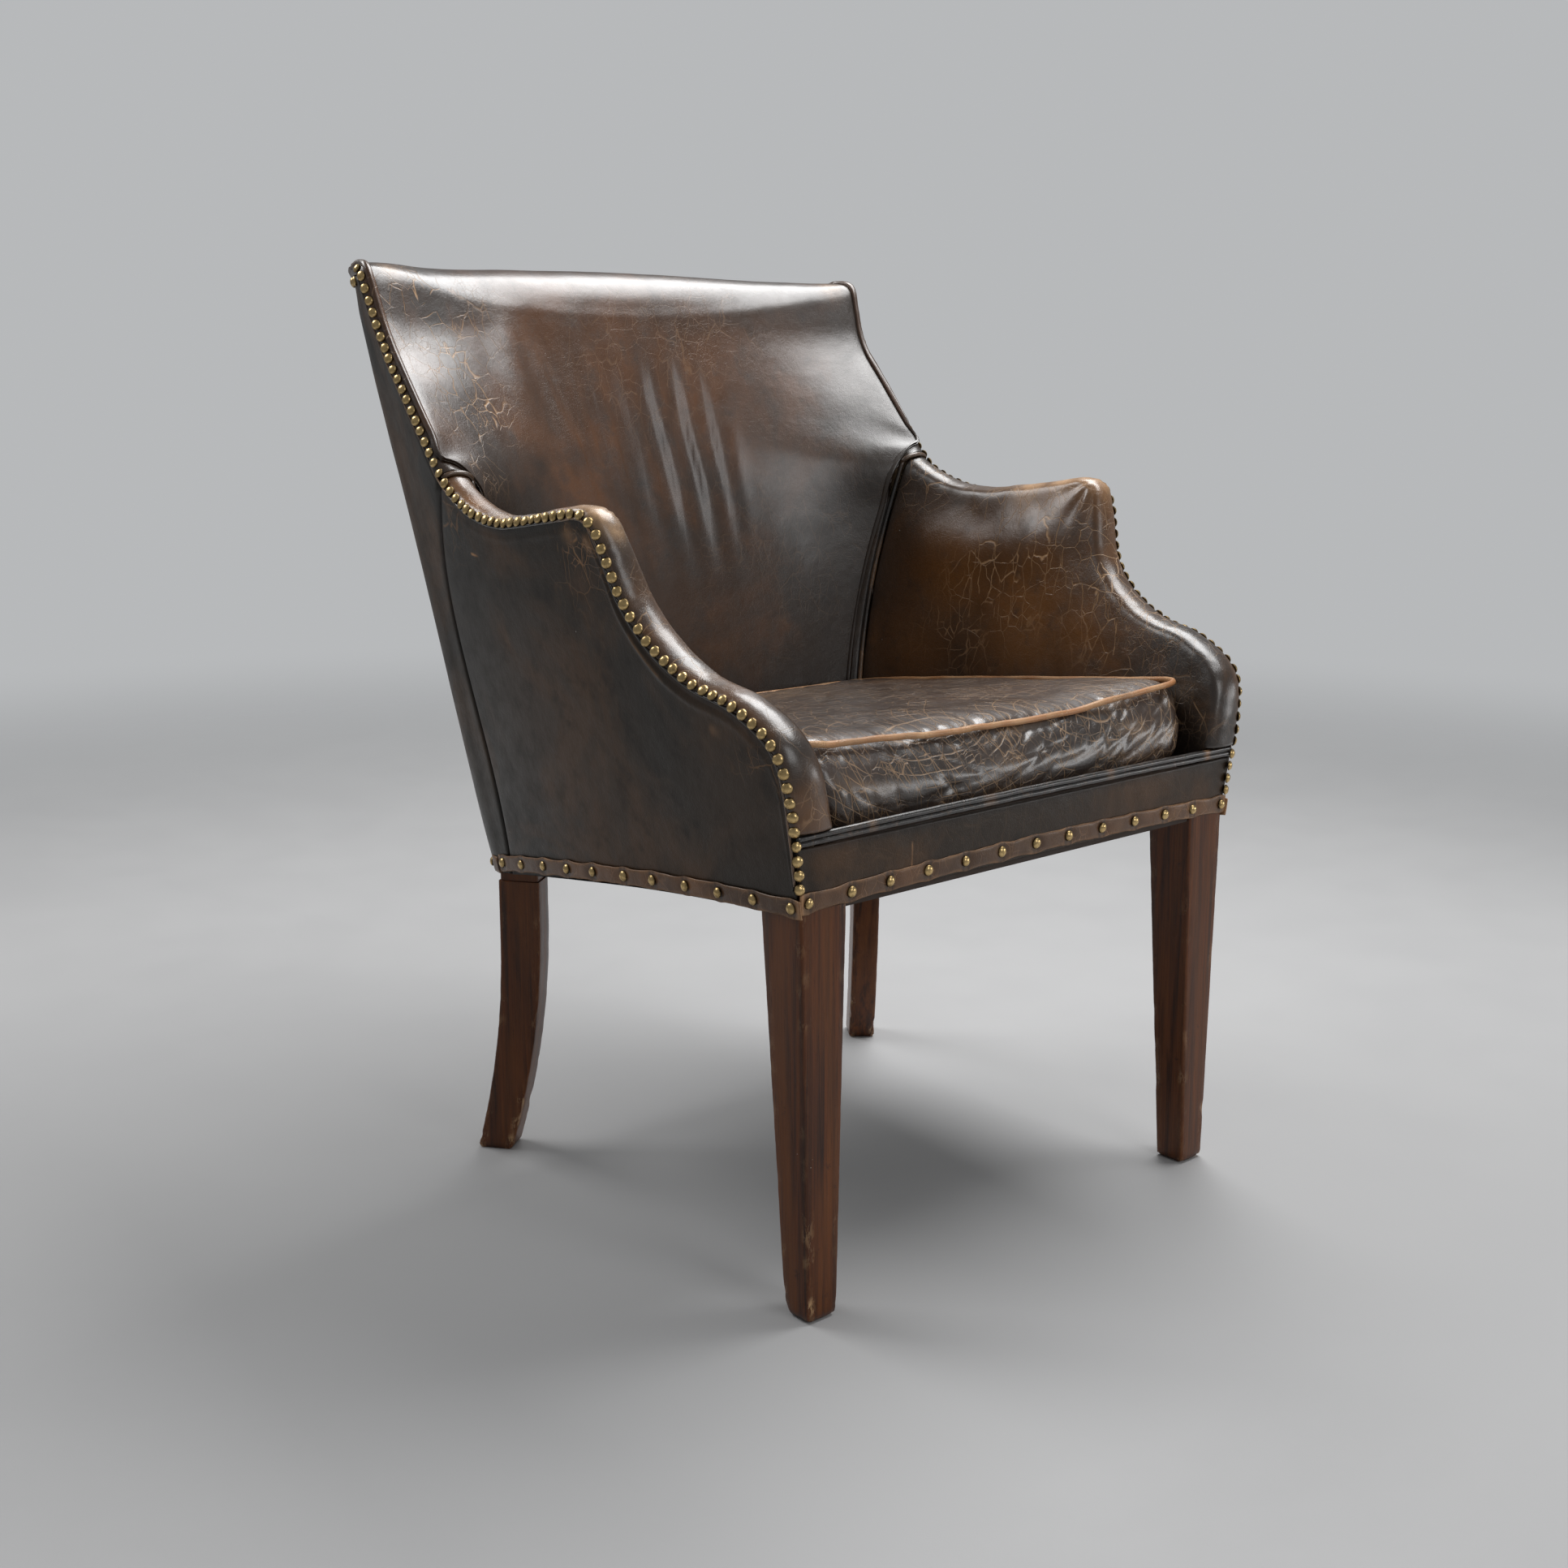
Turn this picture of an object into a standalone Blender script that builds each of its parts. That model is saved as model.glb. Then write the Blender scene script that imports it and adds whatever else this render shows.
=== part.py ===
"""Worn leather club chair: hardwood frame, stuffed leather walls, brass nails and a loose cushion.

Metres, +Z up, the chair faces -Y. While it is drawn, heights are measured from the floor, depths (y)
from the face of the front rail and widths from the middle plane. The last step moves the whole chair
so that its origin is the middle of its box, on the floor.
"""

import math

import bmesh
import bpy
import numpy as np

# Clearances and leather
GAP = 0.0003
LEATHER = 0.0027
SEAM_GAP = 0.0007
WOOD_CLEARANCE = 0.0010

# Seat frame and the outer face of the sides
SEAT_HALF_WIDTH = 0.2760
RAIL_HEIGHT = 0.3550
SIDE_FLARE = 0.1512
FLARE_GROWTH = 0.0833
SIDE_SPREAD = 0.0122
TUCK = 0.552
TUCK_START = 0.250
LOW_TUCK_EASE = 1.27
RAIL_DROP = 0.050
RAIL_DROP_GROWTH = 0.170
RAIL_THICKNESS = 0.022

# Seat deck, and the heights of the rim, along which the nails run
DECK_HEIGHT = RAIL_HEIGHT + 0.058
SEAT_SLOPE = 0.120
ELBOW_HEIGHT = DECK_HEIGHT + 0.066
ARM_HEIGHT = 0.661
RIM_TOP = 0.866
CROWN_HEIGHT = RIM_TOP + 0.012

# Walls
ARM_THICKNESS = 0.0440
ARM_THINNING = 0.045
ROLL_RISE = 0.0095
WING_ROLL = 0.014
SEAT_INSIDE_DEPTH = 0.463
SEAM_DEPTH = SEAT_INSIDE_DEPTH - 0.006
SIDE_SEAM_BOW = 0.050

# Outside back
REAR_DEPTH = SEAT_INSIDE_DEPTH + 0.047
REAR_HEIGHT = 0.300
BACK_RAKE = 0.300
RAKE_EASE = 0.080
BACK_BOW = 0.015
CORNER_RADIUS = 0.045

# Drag folds in the leather of the inside back
FOLD_COUNT = 7
FOLD_PITCH = 0.028
FOLD_DEPTH = 0.0022
FOLD_LEFT = -0.185
FOLD_LOW = 0.500
FOLD_HIGH = RIM_TOP - 0.036
FOLD_SLANT = 0.12

# Legs
FRONT_LEG_TOP = 0.050
FRONT_LEG_FOOT = 0.032
FRONT_LEG_TUCK = 0.0080
FRONT_LEG_KICK = 0.0070
LEG_CHAMFER = 0.0025
BACK_LEG_ANGLE = math.radians(37)
BACK_LEG_WIDTH = 0.042
BACK_LEG_FOOT_WIDTH = 0.036
BACK_LEG_THICKNESS = 0.030
BACK_LEG_SWEEP = 0.033
SWEEP_HEIGHT = 0.230
BACK_LEG_X = 0.2350
BACK_LEG_Y = REAR_DEPTH - 0.052
LEG_SHOULDER = RAIL_HEIGHT - RAIL_DROP * REAR_DEPTH - RAIL_DROP_GROWTH * REAR_DEPTH**2 - 0.0008
POST_SIDE = 0.028
POST_INSET = 0.028

# Seat webbing and loose cushion
WEB_THICKNESS = 0.002
CUSHION_HEIGHT = DECK_HEIGHT + 0.0775
CUSHION_CLEARANCE = 0.0012
CUSHION_FRONT = 0.004
CUSHION_LEAN = 0.022
CUSHION_REAR = SEAT_INSIDE_DEPTH - 0.001
CUSHION_SAG = 0.0135
CUSHION_CROWN = 0.006
FRONT_CORNER = 0.024
REAR_CORNER = 0.045
PIPING_RADIUS = 0.0028
PIPING_INSET = 0.0034
PIPING_DROP = 0.0015

# Trim
BAND_HEIGHT = 0.0155
BAND_THICKNESS = 0.0022
BAND_ARCH = 0.005
FRONT_BAND_RISE = 0.0040
BAND_NAIL_PITCH = 0.0395
NAIL_PITCH = 0.0122
NAIL_RADIUS = 0.0048
NAIL_DOME = 0.0030
NAIL_INSET = 0.0052
NAIL_LIFT = 0.0009
WELT_RADIUS = 0.0022
DOUBLE_WELT_RADIUS = 0.0027

# Grid fineness
ARM_STEPS = 20
BEND_WEIGHT = 0.035
SEAM_ROWS = 6
WING_ROWS = 7
CORNER_TURNS = (0.22, 0.31, 0.40, 0.49, 0.58)
TOP_TURNS = (0.11, 0.22, 0.31, 0.40)

COLOURS = {
    "leather": ((0.050, 0.030, 0.020, 1.0), 0.32, 0.0),
    "leather_outside": ((0.028, 0.022, 0.017, 1.0), 0.38, 0.0),
    "leather_tan": ((0.360, 0.180, 0.085, 1.0), 0.50, 0.0),
    "leather_seat": ((0.070, 0.048, 0.035, 1.0), 0.42, 0.0),
    "leather_band": ((0.110, 0.065, 0.038, 1.0), 0.45, 0.0),
    "mahogany": ((0.085, 0.022, 0.012, 1.0), 0.35, 0.0),
    "frame_wood": ((0.420, 0.290, 0.170, 1.0), 0.70, 0.0),
    "brass": ((0.560, 0.390, 0.150, 1.0), 0.30, 1.0),
    "stuffing": ((0.330, 0.270, 0.190, 1.0), 0.95, 0.0),
    "webbing": ((0.400, 0.320, 0.210, 1.0), 0.90, 0.0),
    "dust_cloth": ((0.030, 0.030, 0.032, 1.0), 0.95, 0.0),
}


def clear_scene():
    """Starts from an empty scene."""
    for old in list(bpy.data.objects):
        bpy.data.objects.remove(old, do_unlink=True)


def material(name):
    """The plain finish of a material slot."""
    found = bpy.data.materials.get(name)
    if found:
        return found
    colour, roughness, metallic = COLOURS[name]
    made = bpy.data.materials.new(name)
    made.use_nodes = True
    shader = made.node_tree.nodes["Principled BSDF"]
    shader.inputs["Base Color"].default_value = colour
    shader.inputs["Roughness"].default_value = roughness
    shader.inputs["Metallic"].default_value = metallic
    return made


def add_object(name, mesh, slot, parent):
    """One named piece with its own copy of a material, hung on the chair's empty."""
    own = material(slot).copy()
    own.name = name + "_" + slot
    mesh.materials.append(own)
    mesh.shade_smooth()
    mesh.set_sharp_from_angle(angle=math.radians(40))
    piece = bpy.data.objects.new(name, mesh)
    bpy.context.scene.collection.objects.link(piece)
    piece.parent = parent
    return piece


def mesh_from(name, points, faces):
    """A mesh with all its faces turned outwards."""
    mesh = bpy.data.meshes.new(name)
    mesh.from_pydata([tuple(map(float, p)) for p in points], [], faces)
    work = bmesh.new()
    work.from_mesh(mesh)
    bmesh.ops.recalc_face_normals(work, faces=work.faces)
    work.to_mesh(mesh)
    work.free()
    return mesh


def slab(front, back):
    """Points and faces of a sheet with a front and a back grid of rows and columns."""
    front, back = np.asarray(front), np.asarray(back)
    rows, cols = front.shape[:2]
    points = np.concatenate([front.reshape(-1, 3), back.reshape(-1, 3)])
    shift = rows * cols
    faces = []
    for i in range(rows - 1):
        for j in range(cols - 1):
            a, b = i * cols + j, (i + 1) * cols + j
            faces.append((a, a + 1, b + 1, b))
            faces.append((a + shift, b + shift, b + 1 + shift, a + 1 + shift))
    rim = [j for j in range(cols)]
    rim += [i * cols + cols - 1 for i in range(1, rows)]
    rim += [(rows - 1) * cols + j for j in range(cols - 2, -1, -1)]
    rim += [i * cols for i in range(rows - 2, 0, -1)]
    for a, b in zip(rim, rim[1:] + rim[:1]):
        faces.append((a, a + shift, b + shift, b))
    return points, faces


def loft(rings, closed=False):
    """Points and faces of a solid through rings of points, with flat ends unless it closes on itself."""
    rings = np.asarray(rings)
    count, size = rings.shape[:2]
    faces = []
    for i in range(count if closed else count - 1):
        near, far = i * size, (i + 1) % count * size
        for j in range(size):
            k = (j + 1) % size
            faces.append((near + j, near + k, far + k, far + j))
    if not closed:
        faces.append(tuple(range(size)))
        faces.append(tuple(range((count - 1) * size, count * size)))
    return rings.reshape(-1, 3), faces


def mirrored(points):
    """The same points on the chair's other side."""
    return np.asarray(points) * np.array([-1.0, 1.0, 1.0])


def add_piece(name, shape, slot, parent):
    return add_object(name, mesh_from(name, *shape), slot, parent)


def add_pair(name, shape, slot, parent):
    """The same piece on the sitter's left (+X) and, mirrored, on the right."""
    points, faces = shape
    add_piece(name + "_left", (points, faces), slot, parent)
    add_piece(name + "_right", (mirrored(points), faces), slot, parent)


def spline(points, at):
    """A smooth curve through the points, read at one or more places from 0 to 1 along it."""
    points = np.asarray(points, float)
    chords = np.linalg.norm(np.diff(points, axis=0), axis=1) ** 0.5
    knots = np.concatenate([[0.0], np.cumsum(chords)])
    knots /= knots[-1]
    slopes = np.gradient(points, knots, axis=0)
    at = np.clip(np.asarray(at, float), 0.0, 1.0)
    k = np.clip(np.searchsorted(knots, at, side="right") - 1, 0, len(knots) - 2)
    span = knots[k + 1] - knots[k]
    t = ((at - knots[k]) / span)[..., None]
    span = span[..., None]
    start = (1 + 2 * t) * (1 - t) ** 2 * points[k] + t * (1 - t) ** 2 * span * slopes[k]
    end = t**2 * (3 - 2 * t) * points[k + 1] + t**2 * (t - 1) * span * slopes[k + 1]
    return start + end


def blend(a, b, t):
    """From a at 0 to b at 1."""
    return a + (b - a) * t


def smooth(t):
    """An eased step from 0 to 1."""
    t = min(max(t, 0.0), 1.0)
    return t * t * (3 - 2 * t)


def side_x(y, z):
    """Half width of the outside of the chair: it flares upwards and draws in towards the back."""
    h = z - RAIL_HEIGHT
    tuck = TUCK - LOW_TUCK_EASE * max(ARM_HEIGHT - z, 0.0) ** 2
    flare = SIDE_FLARE * h + FLARE_GROWTH * h * h
    return SEAT_HALF_WIDTH + flare + SIDE_SPREAD * y - tuck * max(y - TUCK_START, 0.0) ** 2


def rear_corner_y(z):
    """Depth of the outside back's corners, which rake back as they rise."""
    h = z - REAR_HEIGHT
    return REAR_DEPTH + BACK_RAKE * h - RAKE_EASE * h * h


def rear_y(x, z):
    """Depth of the outside back, which bows out between its corners."""
    half = side_x(rear_corner_y(z), z)
    return rear_corner_y(z) + BACK_BOW * (1 - min(abs(x) / half, 1.0) ** 2)


def wall(z):
    """Thickness of the arm, from its outside to its inside leather."""
    return ARM_THICKNESS - ARM_THINNING * max(z - ELBOW_HEIGHT + 0.06, 0.0)


def rail_bottom(y):
    """Height of the chair's lower edge, which drops towards the back legs."""
    y = max(y, 0.0)
    return RAIL_HEIGHT - RAIL_DROP * y - RAIL_DROP_GROWTH * y * y


def deck(y):
    """Height of the seat deck, which slopes down to the back."""
    return DECK_HEIGHT - SEAT_SLOPE * y


def wing_height(share):
    """A height between the arm and the top of the wing."""
    return blend(ARM_HEIGHT, RIM_TOP, share)


# The rim in the side view: up the arm front, over the elbow, along the arm and up the wing
RIM = (
    (-0.001, RAIL_HEIGHT + 0.024),
    (-0.002, ELBOW_HEIGHT - 0.045),
    (0.002, ELBOW_HEIGHT),
    (0.013, ELBOW_HEIGHT + 0.018),
    (0.050, ELBOW_HEIGHT + 0.040),
    (0.104, ELBOW_HEIGHT + 0.054),
    (0.146, ELBOW_HEIGHT + 0.078),
    (0.176, ELBOW_HEIGHT + 0.113),
    (0.193, ARM_HEIGHT - 0.023),
    (0.203, ARM_HEIGHT - 0.004),
    (0.216, ARM_HEIGHT),
    (0.240, ARM_HEIGHT - 0.003),
    (SEAM_DEPTH - 0.155, ARM_HEIGHT - 0.012),
    (SEAM_DEPTH - 0.112, ARM_HEIGHT - 0.0165),
    (SEAM_DEPTH - 0.053, ARM_HEIGHT - 0.009),
    (SEAM_DEPTH, ARM_HEIGHT + 0.017),
    (SEAM_DEPTH + 0.025, wing_height(0.2293)),
    (SEAM_DEPTH + 0.077, wing_height(0.5317)),
    (SEAM_DEPTH + 0.104, wing_height(0.6634)),
    (SEAM_DEPTH + 0.113, wing_height(0.7659)),
    (SEAM_DEPTH + 0.118, wing_height(0.9317)),
    (SEAM_DEPTH + 0.129, wing_height(0.9951)),
)
SAMPLES = 1600
RIM_SAMPLES = spline(RIM, np.linspace(0, 1, SAMPLES))
RIM_LENGTHS = np.concatenate([[0.0], np.cumsum(np.linalg.norm(np.diff(RIM_SAMPLES, axis=0), axis=1))])
RIM_LENGTH = RIM_LENGTHS[-1]


def rim_side(s):
    """(y, z) on the rim, at a length along it from the front corner."""
    return np.array([np.interp(s, RIM_LENGTHS, RIM_SAMPLES[:, k]) for k in (0, 1)])


def rim_along(s, step=0.004):
    """The direction of the rim in the side view."""
    ahead, behind = rim_side(min(s + step, RIM_LENGTH)), rim_side(max(s - step, 0.0))
    return (ahead - behind) / np.linalg.norm(ahead - behind)


def rim_out(s):
    """The direction out of the wall in the side view, square to the rim."""
    along = rim_along(s)
    return np.array([-along[1], along[0]])


def rim_at_depth(y):
    """Length along the rim where it last passes this depth."""
    return float(np.interp(y, RIM_SAMPLES[:, 0], RIM_LENGTHS))


def wall_point(s, inward, outward):
    """A point beside the rim: inward from the outside face, and outward square to the rim."""
    y, z = rim_side(s) + rim_out(s) * outward
    return np.array([side_x(y, z) - inward, y, z])


def rim_stations(start, end, count):
    """Lengths along the rim, closer together where it bends."""
    lengths = np.linspace(start, end, 400)
    heading = np.unwrap([math.atan2(*rim_along(s)) for s in lengths])
    spent = lengths - start + BEND_WEIGHT * np.concatenate([[0.0], np.cumsum(np.abs(np.diff(heading)))])
    return np.interp(np.linspace(0, spent[-1], count), spent, lengths)


ARM_START = float(np.interp(DECK_HEIGHT + 0.013, RIM_SAMPLES[:300, 1], RIM_LENGTHS[:300]))
SEAM_TOP = rim_at_depth(SEAM_DEPTH)
SEAM_STATION = SEAM_TOP - WELT_RADIUS - 2.5 * SEAM_GAP
ARM_STATIONS = rim_stations(ARM_START, SEAM_STATION, ARM_STEPS)
WING_STATIONS = rim_stations(SEAM_TOP, RIM_LENGTH, WING_ROWS + 1)
SEAM_RISES = np.linspace(0.0, 1.0, 7)


def outside_path(y_start, z, t):
    """Across the outside from a point on the side, round the rear corner, to the middle of the back."""
    yr = rear_corner_y(z)
    ya = yr - CORNER_RADIUS
    step = 0.001
    xa = side_x(ya, z)
    draw_in = (side_x(ya + step, z) - xa) / step
    corner = np.array([xa + draw_in * CORNER_RADIUS, yr])
    x_end = corner[0] - CORNER_RADIUS
    start, end = np.array([xa, ya]), np.array([x_end, rear_y(x_end, z)])
    side_share, corner_share = 0.22, 0.58
    if t < side_share:
        y = blend(y_start, ya, t / side_share)
        return np.array([side_x(y, z), y, z])
    if t < corner_share:
        w = (t - side_share) / (corner_share - side_share)
        x, y = (1 - w) ** 2 * start + 2 * w * (1 - w) * corner + w * w * end
        return np.array([x, y, z])
    x = blend(x_end, 0.0, (t - corner_share) / (1 - corner_share))
    return np.array([x, rear_y(x, z), z])


def outside_inward(y_start, z, t, depth):
    """The same path, this far beneath the outer face."""
    step = 0.004
    here = outside_path(y_start, z, t)
    ahead, behind = outside_path(y_start, z, min(t + step, 1.0)), outside_path(y_start, z, max(t - step, 0))
    along = (ahead - behind) / np.linalg.norm(ahead - behind)
    if t >= 1.0:
        along = np.array([-1.0, 0.0, 0.0])
    return here + depth * np.array([along[1], -along[0], 0.0]) * -1.0


def arm_inside_point(s, v, depth):
    """On the arm's inside leather, beneath its face by depth: v runs over the roll, then down the inside."""
    y, z = rim_side(s)
    thick = wall(z)
    roll_share = 0.45
    half, rise = thick / 2 - depth, ROLL_RISE - depth
    if v <= roll_share:
        angle = math.pi * v / roll_share
        return wall_point(s, thick / 2 - half * math.cos(angle), rise * math.sin(angle))
    w = (v - roll_share) / (1 - roll_share)
    along = (s - ARM_START) / (SEAM_TOP - ARM_START)
    y_low = blend(0.020, SEAT_INSIDE_DEPTH - 0.008, along)
    low = np.array([y_low, deck(y_low) - 0.004])
    y, z = blend(rim_side(s), low, w)
    y += 0.013 * math.sin(math.pi * w) * along**2
    return np.array([side_x(y, z) - wall(z) + depth, y, z])


def inner_seam(v):
    """Where inside arm and inside back are sewn together: v runs as on the arm."""
    return arm_inside_point(SEAM_TOP, v, 0.0)


def back_height(share):
    """A height between the seat deck and the rim of the back."""
    return blend(DECK_HEIGHT, RIM_TOP, share)


# The middle of the inside back in the side view, up the face and over the top
BACK_MIDDLE = (
    (SEAT_INSIDE_DEPTH + 0.014, DECK_HEIGHT - 0.043),
    (SEAT_INSIDE_DEPTH + 0.027, back_height(0.0596)),
    (SEAT_INSIDE_DEPTH + 0.047, back_height(0.2362)),
    (SEAT_INSIDE_DEPTH + 0.072, back_height(0.4349)),
    (SEAT_INSIDE_DEPTH + 0.098, back_height(0.6336)),
    (SEAT_INSIDE_DEPTH + 0.117, back_height(0.8102)),
    (SEAT_INSIDE_DEPTH + 0.127, back_height(0.9117)),
    (SEAT_INSIDE_DEPTH + 0.137, RIM_TOP - 0.012),
    (SEAT_INSIDE_DEPTH + 0.152, CROWN_HEIGHT - 0.005),
    (SEAT_INSIDE_DEPTH + 0.174, CROWN_HEIGHT),
    (SEAT_INSIDE_DEPTH + 0.193, CROWN_HEIGHT - 0.0035),
    (rear_y(0.0, RIM_TOP), RIM_TOP),
)
MIDDLE_SAMPLES = spline(BACK_MIDDLE, np.linspace(0, 1, SAMPLES))
TOP_START = 0.72


def back_middle(t):
    """A point of the middle line, from the seat at 0 to the rear rim at 1."""
    y, z = (np.interp(t, np.linspace(0, 1, SAMPLES), MIDDLE_SAMPLES[:, k]) for k in (0, 1))
    return np.array([0.0, y, z])


def middle_at_height(z):
    """Where the middle line first reaches this height."""
    rising = MIDDLE_SAMPLES[: int(SAMPLES * 0.80)]
    return float(np.interp(z, rising[:, 1], np.linspace(0, 0.80, len(rising))))


def inside_back_rows():
    """Edge, point beneath the edge, crown and middle of each row, from the seat up and over the top.

    Where the edge is sewn to the arm, there is no point beneath it.
    """
    rows = []
    for k in range(SEAM_ROWS + 1):
        edge = inner_seam(1.0 - 0.55 * k / SEAM_ROWS)
        crown = edge + np.array([-0.020 + 0.010 * (k / SEAM_ROWS) ** 2, 0.004, 0.0])
        rows.append((edge, None, crown, back_middle(middle_at_height(edge[2] + 0.004 * k))))
    over = 3
    seam_crown, wing_crown = rows[-1][2], wall_point(SEAM_TOP + 0.0195, WING_ROLL, ROLL_RISE)
    for k in range(1, over + 1):
        edge = inner_seam(0.45 * (1 - k / over))
        crown = blend(seam_crown, wing_crown, k / over)
        crown[2] += 0.004 * math.sin(math.pi * k / over)
        rows.append((edge, None, crown, back_middle(middle_at_height(crown[2] + 0.020))))
    start = middle_at_height(rows[-1][2][2] + 0.020)
    for k, s in enumerate(WING_STATIONS[1:], 1):
        w = k / WING_ROWS
        crown = wall_point(min(s + 0.0195 * (1 - w), RIM_LENGTH), WING_ROLL, ROLL_RISE)
        middle = back_middle(blend(start, TOP_START, w**1.1))
        rows.append((wall_point(s, 0.0, 0.0), wall_point(s, LEATHER, 0.0), crown, middle))
    for k, turn in enumerate(TOP_TURNS, 1):
        w = k / len(TOP_TURNS)
        edge = outside_path(RIM[-1][0], RIM_TOP, turn)
        beneath = outside_inward(RIM[-1][0], RIM_TOP, turn, LEATHER)
        crown = edge + np.array([-WING_ROLL * (1 - w), 0.0, ROLL_RISE * math.cos(w * math.pi / 2)])
        rows.append((edge, beneath, crown, back_middle(blend(TOP_START, 1.0, w))))
    return rows


def fold_depth(x, z):
    """Shallow drag folds, slanting down from the sitter's right."""
    across = x - FOLD_LEFT - FOLD_SLANT * (FOLD_HIGH - z)
    width = FOLD_COUNT * FOLD_PITCH
    if not 0 < across < width or not FOLD_LOW < z < FOLD_HIGH:
        return 0.0
    fade = math.sin(math.pi * across / width) * math.sin(math.pi * (z - FOLD_LOW) / (FOLD_HIGH - FOLD_LOW))
    return FOLD_DEPTH * math.sqrt(fade) * math.sin(2 * math.pi * across / FOLD_PITCH)


def inside_back_columns():
    """Shares of the half width: negative on the sitter's right, closer together where the folds are."""
    fine = [-0.88, -0.76, -0.66] + [-0.62 + 0.0375 * k for k in range(19)]
    return fine + [0.16, 0.28, 0.42, 0.57, 0.72, 0.88]


def inside_back_point(row, share):
    """share is 0 in the middle, 1 on the crown beside an edge, and up to 2 on the edge itself."""
    edge, _, crown, middle = row
    size = abs(share)
    if size > 1.0:
        angle = (2.0 - size) * math.pi / 2
        across, rise = (crown - edge) * (1, 0, 0), (crown - edge) * (0, 1, 1)
        point = edge + across * (1 - math.cos(angle)) + rise * math.sin(angle)
    else:
        point = blend(middle, crown, size * size)
        point[0] = crown[0] * size
    return point * (math.copysign(1, share), 1, 1)


def rear_rim(share, depth):
    """The last row: the rim across the rear, from corner to corner."""
    turn = blend(1.0, TOP_TURNS[-1], abs(share) / 2)
    return outside_inward(RIM[-1][0], RIM_TOP, turn, depth) * (math.copysign(1, share), 1, 1)


def grid_normals(grid):
    """Unit normals of a grid of points, from its rows and columns."""
    down = np.gradient(grid, axis=0)
    across = np.gradient(grid, axis=1)
    normals = np.cross(across, down)
    return normals / np.linalg.norm(normals, axis=2, keepdims=True)


def inside_back_sheet(columns, folded):
    """Front and back grids of the leather of the inside back."""
    rows = inside_back_rows()
    shares = [-2.0, -1.67, -1.33, -1.0] + columns + [1.0, 1.33, 1.67, 2.0]
    front = [[inside_back_point(row, share) for share in shares] for row in rows[:-1]]
    front.append([rear_rim(share, 0.0) for share in shares])
    front = np.array(front)
    if folded:
        for point in front.reshape(-1, 3):
            point[1] += fold_depth(point[0], point[2])
    clear_of_welt(front, shares)
    back = front - LEATHER * grid_normals(front)
    for i, (_, beneath, _, _) in enumerate(rows):
        if beneath is not None:
            back[i, 0], back[i, -1] = beneath * (-1, 1, 1), beneath
    back[-1] = [rear_rim(share, LEATHER) for share in shares]
    return front, back


def clear_of_welt(grid, shares):
    """Keeps the sewn edge clear of the welt that lies in the seam."""
    clear = WELT_RADIUS + SEAM_GAP
    for i in range(SEAM_ROWS + 4):
        turn = smooth((i - SEAM_ROWS) / 3) * math.pi / 2
        for j, share in enumerate(shares):
            pull = clear * max(abs(share) - 1.0, 0.0)
            inward = -math.copysign(math.cos(turn), share)
            grid[i, j] += pull * np.array([inward, 0.5 * math.cos(turn), 1.4 * math.sin(turn)])


def inside_back():
    """The leather of the inside back, with its folds."""
    return slab(*inside_back_sheet(inside_back_columns(), True))


def back_padding():
    """Stuffing behind the inside back, as far as the webbing."""
    front, _ = inside_back_sheet([-0.74, -0.5, -0.25, 0.0, 0.25, 0.5, 0.74], False)
    front = (front - (LEATHER + 0.0045) * grid_normals(front))[1:-4, 4:-4]
    back = front.copy()
    for point in back.reshape(-1, 3):
        point[1] = rear_y(point[0], point[2]) - POST_INSET - POST_SIDE / 2 - WEB_THICKNESS - 3 * GAP
    return slab(front, back)


def inside_arm():
    """The leather over the arm's roll and down its inside."""
    bends = np.concatenate([np.linspace(0, 0.45, 6), np.linspace(0.45, 1.0, 6)[1:]])
    front = [[arm_inside_point(s, v, 0.0) for v in bends] for s in ARM_STATIONS]
    back = [[arm_inside_point(s, v, LEATHER) for v in bends] for s in ARM_STATIONS]
    return slab(front, back)


def arm_padding():
    """Stuffing between the arm's frame and its inside leather."""
    stations = rim_stations(ARM_START + 0.045, SEAM_TOP - 0.020, 10)
    drops = (0.52, 0.62, 0.75, 0.85, 0.94)
    depth = LEATHER + 4 * GAP
    front = np.array([[arm_inside_point(s, v, depth) for v in drops] for s in stations])
    back = front.copy()
    for point in back.reshape(-1, 3):
        point[0] = side_x(point[1], point[2]) - LEATHER - WOOD_CLEARANCE - RAIL_THICKNESS - 2 * GAP
    return slab(front, back)


def outside_arm():
    """The side panel, from the lower edge up to the rim and back to the outside seam."""
    grid = []
    for s in [0.0, *ARM_STATIONS, SEAM_TOP]:
        along = s / SEAM_TOP
        y_low = blend(0.0, SEAT_INSIDE_DEPTH, along)
        low = np.array([y_low, rail_bottom(y_low)])
        high = rim_side(s) - rim_out(s) * GAP * 3
        column = []
        for t in SEAM_RISES:
            y, z = blend(low, high, t)
            y += seam_bow(t) * along**3
            column.append((y - SEAM_GAP * along, z))
        grid.append(column)
    front = [[(side_x(y, z), y, z) for y, z in column] for column in grid]
    back = [[(side_x(y, z) - LEATHER + GAP, y, z) for y, z in column] for column in grid]
    return slab(front, back)


def seam_bow(t):
    """How far the outside seam swings back from the straight line between its ends."""
    return SIDE_SEAM_BOW * math.sin(math.pi * t**1.8)


def outside_edge():
    """Side edge of the outside back: the outside seam, then the rim of the wing up to the top corner."""
    low = np.array([SEAT_INSIDE_DEPTH, rail_bottom(SEAT_INSIDE_DEPTH)])
    edge = []
    for t in SEAM_RISES[:-1]:
        y, z = blend(low, rim_side(SEAM_TOP), t)
        edge.append((y + seam_bow(t) + SEAM_GAP, z))
    for s in WING_STATIONS:
        y, z = rim_side(s) - rim_out(s) * GAP * 4
        edge.append((y + (SEAM_GAP if s == SEAM_TOP else 0.0), z))
    return edge


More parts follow.
